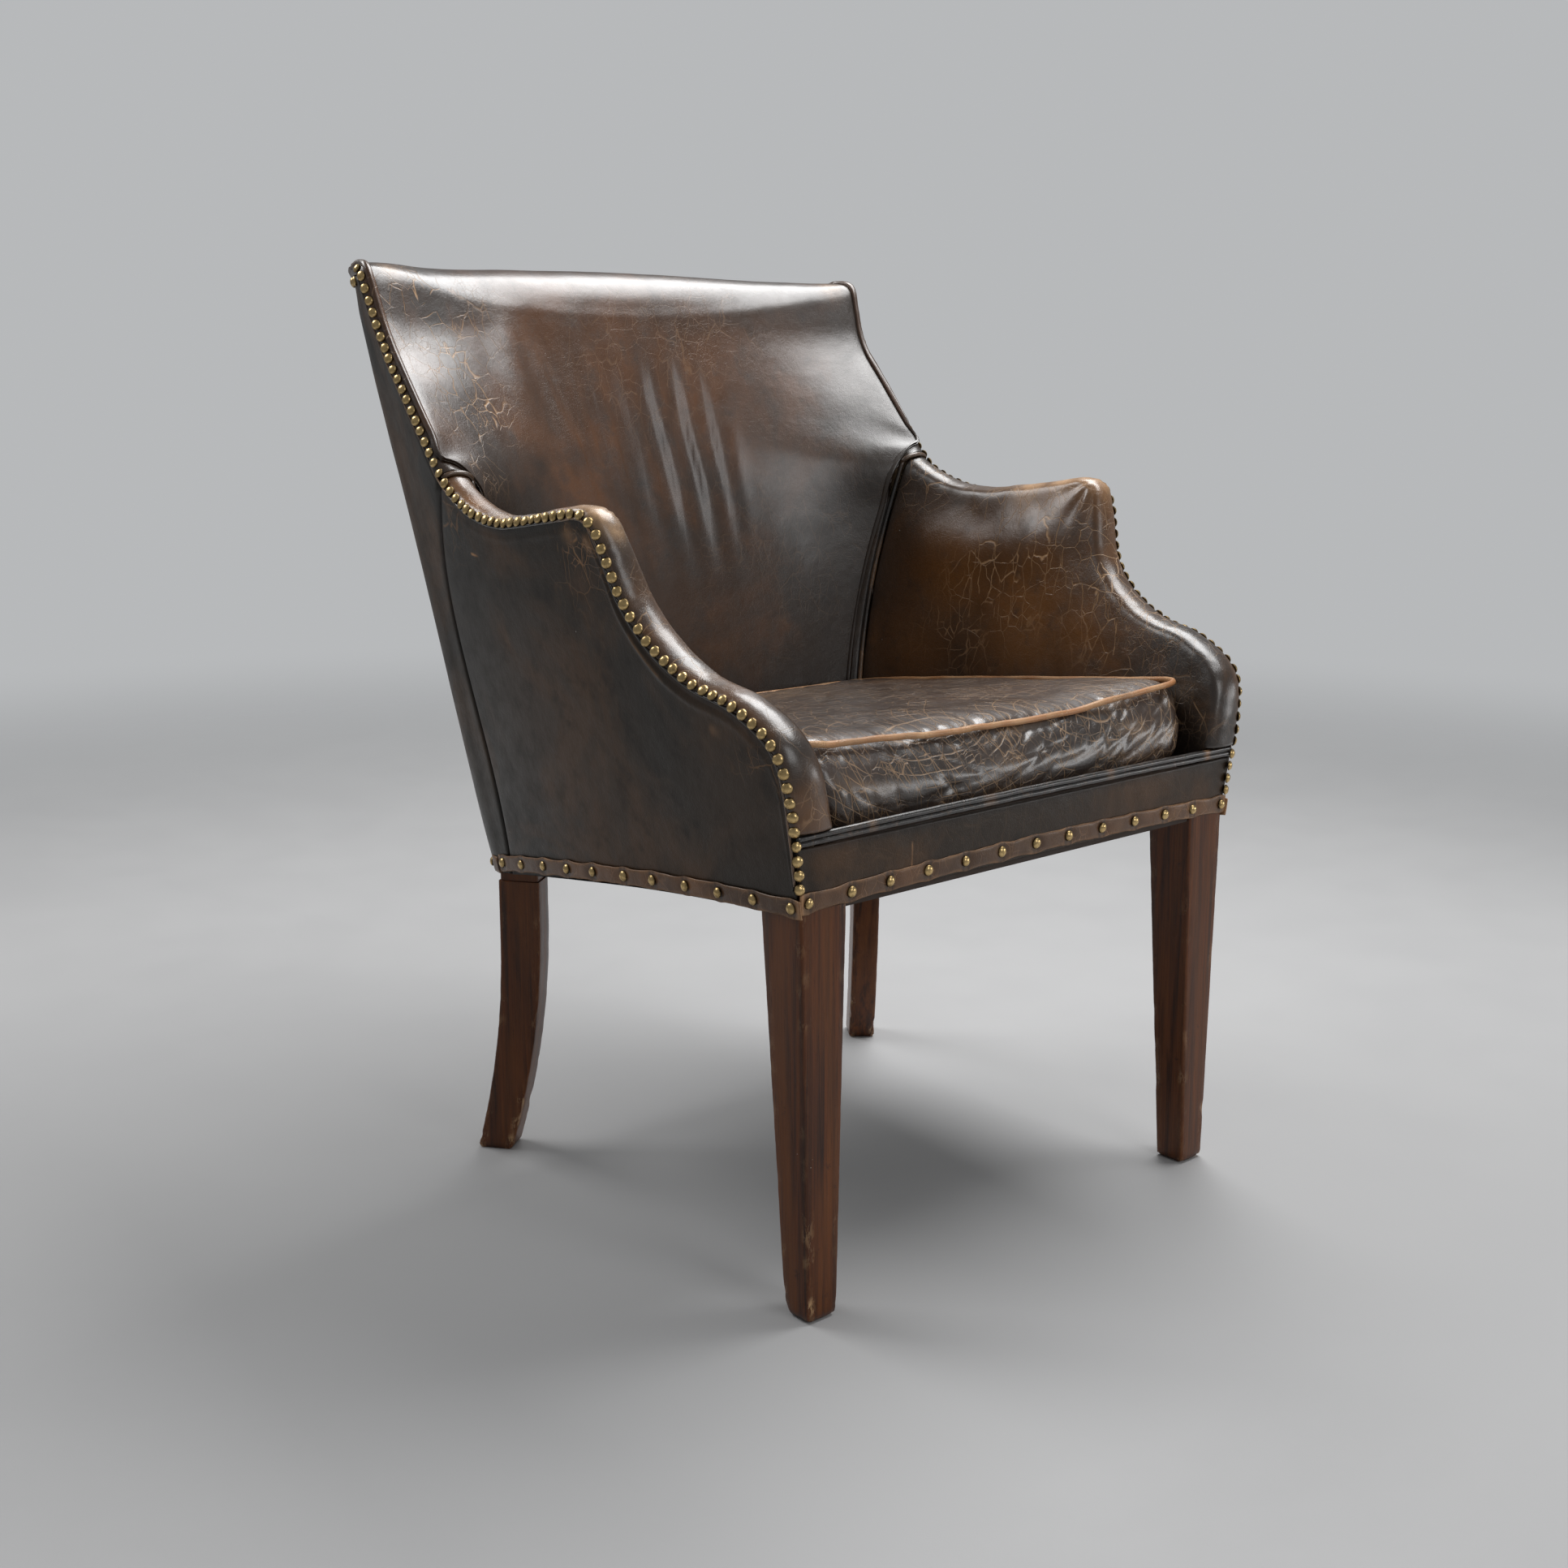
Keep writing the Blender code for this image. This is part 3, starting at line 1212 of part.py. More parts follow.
def build_leather(root):
    add_piece("inside_back", inside_back(), "leather", root)
    add_pair("inside_arm", inside_arm(), "leather", root)
    add_pair("outside_arm", outside_arm(), "leather_outside", root)
    add_piece("outside_back", outside_back(), "leather_outside", root)
    add_piece("front_cover", front_cover(), "leather_outside", root)
    add_piece("seat_cushion", cushion(), "leather_seat", root)


def build_trim(root):
    add_pair("seam_welt", seam_welt(), "leather", root)
    add_piece("front_double_piping", double_piping(), "leather_outside", root)
    add_piece("cushion_piping", cushion_piping(), "leather_tan", root)
    add_pair("nail_trim", nail_trim(), "brass", root)
    add_piece("nail_trim_rear", rear_nail_trim(), "brass", root)
    add_piece("front_band", front_band(), "leather_band", root)
    add_pair("side_band", side_band(), "leather_band", root)


def centre_on_floor(root):
    """Moves the chair so that the origin is the middle of its box, on the floor."""
    depths = [vertex.co.y for piece in root.children for vertex in piece.data.vertices]
    root.location.y = -(min(depths) + max(depths)) / 2


def main():
    clear_scene()
    root = bpy.data.objects.new("chair", None)
    bpy.context.scene.collection.objects.link(root)
    build_frame(root)
    build_stuffing(root)
    build_leather(root)
    build_trim(root)
    centre_on_floor(root)


main()
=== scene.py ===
"""The looks of the worn club chair: leather, nails, cushion and wood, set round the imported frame.

Metres. Shapes are worked out in the drawing frame of the chair, where y is 0 at the face of the
front rail, and each mesh is moved by SHIFT into the frame of the model when it is made.
"""

import math

import bmesh
import bpy
import numpy as np
from mathutils import Matrix, Vector, noise
from mathutils.bvhtree import BVHTree


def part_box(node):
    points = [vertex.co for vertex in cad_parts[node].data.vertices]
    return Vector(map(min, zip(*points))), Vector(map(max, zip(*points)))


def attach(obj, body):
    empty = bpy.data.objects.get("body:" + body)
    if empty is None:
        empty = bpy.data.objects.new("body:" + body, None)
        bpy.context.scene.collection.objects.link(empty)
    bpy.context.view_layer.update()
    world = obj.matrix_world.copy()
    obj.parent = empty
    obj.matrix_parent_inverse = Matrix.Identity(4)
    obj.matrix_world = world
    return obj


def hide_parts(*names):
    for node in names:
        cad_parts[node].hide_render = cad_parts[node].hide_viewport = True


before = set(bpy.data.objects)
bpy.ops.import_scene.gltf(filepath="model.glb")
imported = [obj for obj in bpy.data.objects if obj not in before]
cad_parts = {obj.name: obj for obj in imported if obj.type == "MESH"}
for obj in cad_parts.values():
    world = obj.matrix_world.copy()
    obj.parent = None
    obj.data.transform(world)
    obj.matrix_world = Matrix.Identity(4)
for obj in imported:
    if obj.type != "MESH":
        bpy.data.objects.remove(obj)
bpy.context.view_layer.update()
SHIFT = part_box("front_rail")[0].y

# Sizes of the chair, as its source has them
GAP = 0.0003
LEATHER = 0.0027
SEAM_GAP = 0.0007
SEAT_HALF_WIDTH = 0.2760
RAIL_HEIGHT = 0.3550
DECK_HEIGHT = 0.4130
ELBOW_HEIGHT = 0.479
ARM_HEIGHT = 0.661
RIM_TOP = 0.866
CROWN_HEIGHT = 0.878
SEAT_INSIDE_DEPTH = 0.463
SEAM_DEPTH = 0.457
REAR_DEPTH = 0.510
REAR_HEIGHT = 0.300
CORNER_RADIUS = 0.045
ROLL_SHARE = 0.45
ROLL_RISE = 0.0095
WING_ROLL = 0.014
WELT_RADIUS = 0.0022
NAIL_RADIUS = 0.0049
NAIL_DOME = 0.0031
NAIL_PITCH = 0.0122
BAND_HEIGHT = 0.0155
PIPING_RADIUS = 0.0029
CUSHION_HEIGHT = 0.4905
CUSHION_FRONT = 0.004
CUSHION_REAR = 0.462
SEAT_SLOPE = 0.120
SEAM_LEAN = 0.019
REAR_BULGE = 0.0098
EAR_RISE = 0.0045
FOLD_SHARE = 0.85
ARM_PAD = 0.0065

RANDOM = np.random.default_rng(7)


def camera():
    """Stands where the photograph was taken from."""
    yaw, pitch, roll = math.radians(41.2), math.radians(12.6), math.radians(0.26)
    forward = Vector((math.sin(yaw) * math.cos(pitch), math.cos(yaw) * math.cos(pitch), -math.sin(pitch)))
    level = Vector((math.cos(yaw), -math.sin(yaw), 0.0))
    above = level.cross(forward)
    right = math.cos(roll) * level + math.sin(roll) * above
    up = math.cos(roll) * above - math.sin(roll) * level
    lens = bpy.data.cameras.new("camera")
    lens.sensor_width = 36.0
    lens.lens = 43.62
    made = bpy.data.objects.new("camera", lens)
    bpy.context.scene.collection.objects.link(made)
    turned = Matrix((right, up, -forward)).transposed().to_4x4()
    made.matrix_world = Matrix.Translation((-1.241, -1.084 + SHIFT, 0.789)) @ turned
    bpy.context.scene.camera = made


# Small tools for shapes


def spline(points, at):
    """A smooth curve through the points, read at one or more places from 0 to 1 along it."""
    points = np.asarray(points, float)
    steps = np.diff(points, axis=0).reshape(len(points) - 1, -1)
    chords = np.linalg.norm(steps, axis=1) ** 0.5
    knots = np.concatenate([[0.0], np.cumsum(chords)])
    knots /= knots[-1]
    return spline_at(points, knots, at)


def spline_at(points, knots, at):
    slopes = np.gradient(points, knots, axis=0)
    at = np.clip(np.asarray(at, float), knots[0], knots[-1])
    k = np.clip(np.searchsorted(knots, at, side="right") - 1, 0, len(knots) - 2)
    shape = (-1,) + (1,) * (points.ndim - 1)
    span = (knots[k + 1] - knots[k]).reshape(shape)
    t = ((at - knots[k])).reshape(shape) / span
    start = (1 + 2 * t) * (1 - t) ** 2 * points[k] + t * (1 - t) ** 2 * span * slopes[k]
    end = t**2 * (3 - 2 * t) * points[k + 1] + t**2 * (t - 1) * span * slopes[k + 1]
    return start + end


def blend(a, b, t):
    return a + (b - a) * t


def smooth(t):
    t = np.clip(t, 0.0, 1.0)
    return t * t * (3 - 2 * t)


def normals_of(grid, facing):
    """Unit normals of a grid of points, on the side that faces the given direction."""
    normals = np.cross(np.gradient(grid, axis=1), np.gradient(grid, axis=0))
    length = np.linalg.norm(normals, axis=2, keepdims=True)
    normals = normals / np.maximum(length, 1e-12)
    return normals * (1 if (normals * facing).sum() > 0 else -1)


def ripple(points, size, seed=0.0):
    """Smooth noise from -1 to 1 at each point; size is its scale in metres, one number or three."""
    flat = np.asarray(points).reshape(-1, 3) / size + seed
    return np.array([noise.noise(p) for p in flat.tolist()]).reshape(np.shape(points)[:-1])


def spots(points, marks):
    """How much of something each point has: marks are (x, y, z, radius, strength)."""
    points = np.asarray(points).reshape(-1, 3)
    value = np.zeros(len(points))
    for x, y, z, radius, strength in marks:
        away = ((points - (x, y, z)) ** 2).sum(axis=1) / radius**2
        value = np.maximum(value, strength * np.exp(-away))
    return np.clip(value, 0.0, 1.0)


def mirrored(points):
    return np.asarray(points) * np.array([-1.0, 1.0, 1.0])


def solid_mesh(name, points, faces):
    """A mesh, moved into the model's frame, with its faces turned outwards."""
    mesh = bpy.data.meshes.new(name)
    points = np.asarray(points, float) + (0.0, SHIFT, 0.0)
    mesh.from_pydata(points.tolist(), [], faces)
    work = bmesh.new()
    work.from_mesh(mesh)
    bmesh.ops.recalc_face_normals(work, faces=work.faces)
    work.to_mesh(mesh)
    work.free()
    return mesh


def piece(name, mesh, material, replaced=(), fields=None, sharp=None):
    """Puts a finished piece on the chair."""
    mesh.materials.append(material)
    mesh.shade_smooth()
    if sharp:
        mesh.set_sharp_from_angle(angle=math.radians(sharp))
    for key, values in (fields or {}).items():
        layer = mesh.attributes.new(key, "FLOAT", "POINT")
        layer.data.foreach_set("value", np.asarray(values, np.float32).ravel())
    made = bpy.data.objects.new(name, mesh)
    bpy.context.scene.collection.objects.link(made)
    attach(made, "root")
    if replaced:
        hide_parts(*replaced)
    return made


def sheet_shape(front, facing, thickness=LEATHER):
    """Points and faces of a sheet: its outer grid, and the same grid again beneath it."""
    rows, cols = front.shape[:2]
    back = front - thickness * normals_of(front, facing)
    points = np.concatenate([front.reshape(-1, 3), back.reshape(-1, 3)])
    index = np.arange(rows * cols).reshape(rows, cols)
    a, b, c, d = index[:-1, :-1], index[:-1, 1:], index[1:, 1:], index[1:, :-1]
    outer = np.stack([a, b, c, d], axis=-1).reshape(-1, 4)
    inner = outer[:, ::-1] + rows * cols
    rim = np.concatenate([index[0, :-1], index[:-1, -1], index[-1, :0:-1], index[:0:-1, 0]])
    after = np.roll(rim, -1)
    edge = np.stack([rim, rim + rows * cols, after + rows * cols, after], axis=-1)
    return points, np.concatenate([outer, inner, edge]).tolist()


def nailed_sheet(grid, flat=None):
    """Works out the size that a piece's grid has when it is laid out flat, or takes the size given; nothing is kept."""
    along, across = (np.linalg.norm(np.diff(grid, axis=k), axis=2).sum(axis=k).max() for k in (0, 1))
    across, along = flat or (across, along)


def doubled(field):
    """The same value on a sheet's outer and inner points."""
    return np.concatenate([np.ravel(field), np.ravel(field)])


def tube_shape(path, radius, sides=10, closed=False, guide=(0.35, -0.9, 0.25)):
    """A round tube along a path. radius is one number, or one for each point."""
    path = np.asarray(path, float)
    count = len(path)
    if closed:
        along = np.roll(path, -1, axis=0) - np.roll(path, 1, axis=0)
    else:
        along = np.gradient(path, axis=0)
    along /= np.linalg.norm(along, axis=1, keepdims=True)
    first = np.cross(along, guide)
    first /= np.linalg.norm(first, axis=1, keepdims=True)
    second = np.cross(along, first)
    radius = np.broadcast_to(radius, (count,))[:, None]
    rings = []
    for angle in np.linspace(0, 2 * math.pi, sides, endpoint=False):
        rings.append(path + radius * (first * math.cos(angle) + second * math.sin(angle)))
    return loft_shape(np.stack(rings, axis=1), closed)


def loft_shape(rings, closed=False):
    """Points and faces of a solid through rings of points, with flat ends unless it closes on itself."""
    count, size = rings.shape[:2]
    index = np.arange(count * size).reshape(count, size)
    nexts = np.roll(index, -1, axis=0) if closed else index[1:]
    nears = index if closed else index[:-1]
    quads = np.stack([nears, np.roll(nears, -1, axis=1), np.roll(nexts, -1, axis=1), nexts], axis=-1)
    faces = quads.reshape(-1, 4).tolist()
    if not closed:
        faces += [index[0].tolist(), index[-1].tolist()]
    return rings.reshape(-1, 3), faces


def evenly(path, pitch):
    """Points along a path at equal steps close to pitch, with both ends."""
    path = np.asarray(path)
    lengths = np.concatenate([[0.0], np.cumsum(np.linalg.norm(np.diff(path[:, :3], axis=0), axis=1))])
    count = max(round(lengths[-1] / pitch), 1)
    marks = np.linspace(0.0, lengths[-1], count + 1)
    return np.stack([np.interp(marks, lengths, path[:, k]) for k in range(path.shape[1])], axis=-1)


# The form of the chair


def side_x(y, z):
    """Half width of the outside of the chair."""
    h = z - RAIL_HEIGHT
    tuck = 0.552 - 1.27 * np.maximum(ARM_HEIGHT - z, 0.0) ** 2
    flare = 0.1512 * h + 0.0833 * h * h
    return SEAT_HALF_WIDTH + flare + 0.0122 * y - tuck * np.maximum(y - 0.250, 0.0) ** 2


def rear_corner_y(z):
    h = z - REAR_HEIGHT
    return REAR_DEPTH + 0.300 * h - 0.080 * h * h


def rear_y(x, z):
    half = side_x(rear_corner_y(z), z)
    return rear_corner_y(z) + 0.015 * (1 - np.minimum(np.abs(x) / half, 1.0) ** 2)


def wall(z):
    """Thickness of the arm."""
    return 0.0440 - 0.045 * np.maximum(z - ELBOW_HEIGHT + 0.06, 0.0)


def rail_bottom(y):
    y = np.maximum(y, 0.0)
    return RAIL_HEIGHT - 0.050 * y - 0.170 * y * y


def deck(y):
    return DECK_HEIGHT - SEAT_SLOPE * y


# The rim in the side view: up the arm's front, over the elbow, along the arm and up the wing
RIM = (
    (-0.001, 0.379), (-0.002, 0.434), (0.002, 0.479), (0.013, 0.497), (0.050, 0.519), (0.104, 0.533),
    (0.146, 0.557), (0.176, 0.592), (0.193, 0.638), (0.203, 0.657), (0.216, 0.661), (0.240, 0.658),
    (0.302, 0.649), (0.345, 0.6445), (0.404, 0.652), (0.457, 0.678), (0.482, 0.708), (0.528, 0.763),
    (0.554, 0.794), (0.569, 0.822), (0.5785, 0.8485), (0.5862, 0.865),
)
SAMPLES = 1600
RIM_SAMPLES = spline(RIM, np.linspace(0, 1, SAMPLES))
RIM_LENGTHS = np.concatenate([[0.0], np.cumsum(np.linalg.norm(np.diff(RIM_SAMPLES, axis=0), axis=1))])
RIM_LENGTH = RIM_LENGTHS[-1]


def rim_side(s):
    """(y, z) on the rim, at a length along it from the front corner."""
    return np.stack([np.interp(s, RIM_LENGTHS, RIM_SAMPLES[:, k]) for k in (0, 1)], axis=-1)


def rim_out(s, step=0.004):
    """The direction out of the wall in the side view, square to the rim."""
    s = np.asarray(s, float)
    along = rim_side(np.minimum(s + step, RIM_LENGTH)) - rim_side(np.maximum(s - step, 0.0))
    along /= np.linalg.norm(along, axis=-1, keepdims=True)
    return np.stack([-along[..., 1], along[..., 0]], axis=-1)


def rim_at_depth(y):
    return float(np.interp(y, RIM_SAMPLES[:, 0], RIM_LENGTHS))


def wall_point(s, inward, outward):
    """A point beside the rim: inward from the outside face, and outward square to the rim."""
    side = rim_side(s) + rim_out(s) * np.asarray(outward, float)[..., None]
    y, z = side[..., 0], side[..., 1]
    return np.stack([side_x(y, z) - inward, y, z], axis=-1)


ARM_START = float(np.interp(DECK_HEIGHT + 0.013, RIM_SAMPLES[:300, 1], RIM_LENGTHS[:300]))
SEAM_TOP = rim_at_depth(SEAM_DEPTH)
SEAM_STATION = SEAM_TOP - WELT_RADIUS - 2.5 * SEAM_GAP
WING_TOP_ROW = 17.5
WEB_THICKNESS = 0.002
DUST_CLOTH_THICKNESS = 0.0008
DUST_CLOTH_SAG = 0.006


def arm_inside_point(s, v, depth=0.0):
    """On the arm's inside leather: v runs over the roll, then down the inside."""
    s, v = np.broadcast_arrays(np.asarray(s, float), np.asarray(v, float))
    side = rim_side(s)
    thick = wall(side[..., 1])
    angle = math.pi * np.minimum(v, ROLL_SHARE) / ROLL_SHARE
    over = wall_point(s, thick / 2 - (thick / 2 - depth) * np.cos(angle), (ROLL_RISE - depth) * np.sin(angle))
    w = np.clip((v - ROLL_SHARE) / (1 - ROLL_SHARE), 0.0, 1.0)
    along = (s - ARM_START) / (SEAM_TOP - ARM_START)
    y_low = blend(0.020, SEAT_INSIDE_DEPTH - 0.008, along)
    low = np.stack([y_low, deck(y_low) - 0.004], axis=-1)
    down = blend(side, low, w[..., None])
    y, z = down[..., 0] + 0.013 * np.sin(math.pi * w) * along**2, down[..., 1]
    inside = np.stack([side_x(y, z) - wall(z) + depth, y, z], axis=-1)
    return np.where((v <= ROLL_SHARE)[..., None], over, inside)


BACK_MIDDLE = (
    (0.477, 0.370), (0.490, 0.440), (0.510, 0.520), (0.535, 0.610), (0.561, 0.700), (0.580, 0.780),
    (0.590, 0.826), (0.600, 0.854), (0.615, 0.873), (0.637, 0.878), (0.656, 0.8745),
    (float(rear_y(0.0, RIM_TOP)), RIM_TOP),
)
MIDDLE_SAMPLES = spline(BACK_MIDDLE, np.linspace(0, 1, SAMPLES))
TOP_START = 0.72


def back_middle(t):
    y, z = (np.interp(t, np.linspace(0, 1, SAMPLES), MIDDLE_SAMPLES[:, k]) for k in (0, 1))
    return np.array([0.0, y, z])


def middle_at_height(z):
    rising = MIDDLE_SAMPLES[: int(SAMPLES * 0.80)]
    return float(np.interp(z, rising[:, 1], np.linspace(0, 0.80, len(rising))))


def outside_path(y_start, z, t):
    """Across the outside from a point on the side, round the rear corner, to the middle of the back."""
    yr = rear_corner_y(z)
    ya = yr - CORNER_RADIUS
    xa = side_x(ya, z)
    draw_in = (side_x(ya + 0.001, z) - xa) / 0.001
    corner = np.array([xa + draw_in * CORNER_RADIUS, yr])
    x_end = corner[0] - CORNER_RADIUS
    start, end = np.array([xa, ya]), np.array([x_end, rear_y(x_end, z)])
    side_share, corner_share = 0.22, 0.58
    if t < side_share:
        y = blend(y_start, ya, t / side_share)
        return np.array([side_x(y, z), y, z])
    if t < corner_share:
        w = (t - side_share) / (corner_share - side_share)
        x, y = (1 - w) ** 2 * start + 2 * w * (1 - w) * corner + w * w * end
        return np.array([x, y, z])
    x = blend(x_end, 0.0, (t - corner_share) / (1 - corner_share))
    return np.array([x, rear_y(x, z), z])


def back_rows():
    """Edge, crown and middle of each row of the inside back, from the seat up and over the top."""
    seam_rows, over = 6, 3
    rows = []
    for k in range(seam_rows + 1):
        edge = arm_inside_point(SEAM_TOP, 1.0 - 0.55 * k / seam_rows)
        crown = edge + np.array([-0.020 + 0.010 * (k / seam_rows) ** 2, 0.004, 0.0])
        rows.append((edge, crown, back_middle(middle_at_height(edge[2] + 0.004 * k))))
    seam_crown, wing_crown = rows[-1][1], wall_point(SEAM_TOP + 0.0195, WING_ROLL, ROLL_RISE)
    for k in range(1, over + 1):
        edge = arm_inside_point(SEAM_TOP, 0.45 * (1 - k / over))
        crown = blend(seam_crown, wing_crown, k / over)
        crown[2] += 0.004 * math.sin(math.pi * k / over)
        rows.append((edge, crown, back_middle(middle_at_height(crown[2] + 0.020))))
    start = middle_at_height(rows[-1][1][2] + 0.020)
    for k in range(1, 9):
        w = k / 8
        s = blend(SEAM_TOP, RIM_LENGTH, w)
        crown = wall_point(min(s + 0.0195 * (1 - w), RIM_LENGTH), WING_ROLL, ROLL_RISE)
        rows.append((wall_point(s, 0.0, 0.0), crown, back_middle(blend(start, TOP_START, w**1.1))))
    for k, turn in enumerate((0.11, 0.22, 0.31, 0.40), 1):
        w = k / 4
        edge = outside_path(RIM[-1][0], RIM_TOP, turn)
        crown = edge + np.array([-WING_ROLL * (1 - w), 0.0, ROLL_RISE * math.cos(w * math.pi / 2)])
        rows.append((edge, crown, back_middle(blend(TOP_START, 1.0, w))))
    return rows, seam_rows + over


# The folds of the inside back: x where they are high and low, their ends, width and height
FOLDS = (
    (-0.157, -0.150, 0.850, 0.680, 0.0210, 0.0036),
    (-0.121, -0.084, 0.840, 0.590, 0.0078, 0.0032),
    (-0.083, -0.064, 0.810, 0.590, 0.0062, 0.0024),
    (-0.056, -0.036, 0.845, 0.540, 0.0080, 0.0034),
    (-0.014, 0.002, 0.845, 0.520, 0.0092, 0.0040),
    (0.025, 0.036, 0.845, 0.520, 0.0095, 0.0040),
    (0.062, 0.070, 0.845, 0.520, 0.0092, 0.0036),
    (0.094, 0.096, 0.815, 0.560, 0.0085, 0.0018),
)


def fold_height(points):
    """Drag folds: each is a soft ridge with a valley on the sitter's left of it."""
    x, z = points[..., 0], points[..., 2]
    height = np.zeros(x.shape)
    for k, (high_x, low_x, top, low, width, rise) in enumerate(FOLDS):
        line = high_x + (low_x - high_x) * (0.77 - z) / 0.115
        line = np.where(z < 0.655, low_x + (low_x - high_x) * 0.55 * (0.655 - z) / 0.115, line)
        line = line + 0.0010 * np.sin(z * 55.0 + 1.7 * k)
        u = (x - line) / width
        run = np.clip((z - low) / (top - low), 0.0, 1.0)
        fade = smooth(run * 1.9) * smooth((1 - run) * 3.2)
        height += FOLD_SHARE * rise * fade * (np.exp(-u * u) - 0.75 * np.exp(-((u - 1.75) ** 2) / 1.1))
    return height


def back_shape():
    """The front grid of the inside back's leather, and the row where the wing begins."""
    rows, wing = back_rows()
    shares = np.array([1.0, 1.17, 1.33, 1.5, 1.67, 1.83, 2.0])
    inner = np.linspace(-1.0, 1.0, 25)
    marks = np.concatenate([-shares[:0:-1], inner, shares[1:]])
    grid = np.zeros((len(rows) + 1, len(marks), 3))
    for i, (edge, crown, middle) in enumerate(rows):
        for j, mark in enumerate(marks):
            size = abs(mark)
            if size > 1.0:
                angle = (2.0 - size) * math.pi / 2
                reach = crown - edge
                turn = np.array([1 - math.cos(angle), math.sin(angle), math.sin(angle)])
                point = edge + reach * turn
            else:
                point = blend(middle, crown, size * size)
                point[0] = crown[0] * size
            grid[i, j] = point * (math.copysign(1, mark), 1, 1)
    for j, mark in enumerate(marks):
        turn = blend(1.0, 0.40, abs(mark) / 2)
        grid[-1, j] = outside_path(RIM[-1][0], RIM_TOP, turn) * (math.copysign(1, mark), 1, 1)
    clear = WELT_RADIUS + SEAM_GAP
    for i in range(wing + 1):
        turn = smooth((i - 6) / 3) * math.pi / 2
        pull = clear * np.maximum(np.abs(marks) - 1.0, 0.0)
        inward = -np.sign(marks) * math.cos(turn)
        grid[i] += pull[:, None] * np.stack(
            [inward, np.full(len(marks), 0.5 * math.cos(turn)), np.full(len(marks), 1.4 * math.sin(turn))], axis=-1
        )
    return grid, marks, wing


def fine_back(row_count=150, column_count=210):
    grid, marks, wing = back_shape()
    steps = np.linalg.norm(np.diff(grid, axis=0), axis=2).mean(axis=1)
    rows = np.concatenate([[0.0], np.cumsum(steps)])
    evenly_spaced = np.linspace(0, rows[-1], row_count)
    grid = spline_at(grid, rows, evenly_spaced)
    ends = np.interp(evenly_spaced, rows, np.arange(len(rows)))
    turned = np.swapaxes(grid, 0, 1)
    spread = np.linspace(-1, 1, column_count)
    at = 2.0 * np.sign(spread) * np.abs(spread) ** 0.92
    fine = np.swapaxes(spline_at(turned, marks, at), 0, 1)
    # The leather is drawn smooth between its edges
    inner = smooth((0.98 - np.abs(at)) / 0.25)[None, :, None]
    below_crown = smooth((0.825 - fine[..., 2]) / 0.04)[..., None]
    share = inner * below_crown
    share[0] = share[-1] = 0.0
    for _ in range(60):
        eased = fine.copy()
        eased[1:-1] = (fine[:-2] + 2 * fine[1:-1] + fine[2:]) / 4
        eased[:, 1:-1] = (eased[:, :-2] + 2 * eased[:, 1:-1] + eased[:, 2:]) / 4
        fine = fine + (eased - fine) * share
    # The corner that the sitter's right hand rests by stands up a little
    ear = np.exp(-(((np.abs(fine[..., 0]) - 0.280) / 0.045) ** 2)) * smooth((fine[..., 2] - 0.825) / 0.035)
    fine[..., 2] += EAR_RISE * ear * np.where(fine[..., 0] < 0, 1.0, 0.2) * smooth((len(rows) - 1.3 - ends) / 2.0)[:, None] * smooth((2.0 - np.abs(at)) / 0.6)
    return fine, at, ends, wing


# Materials


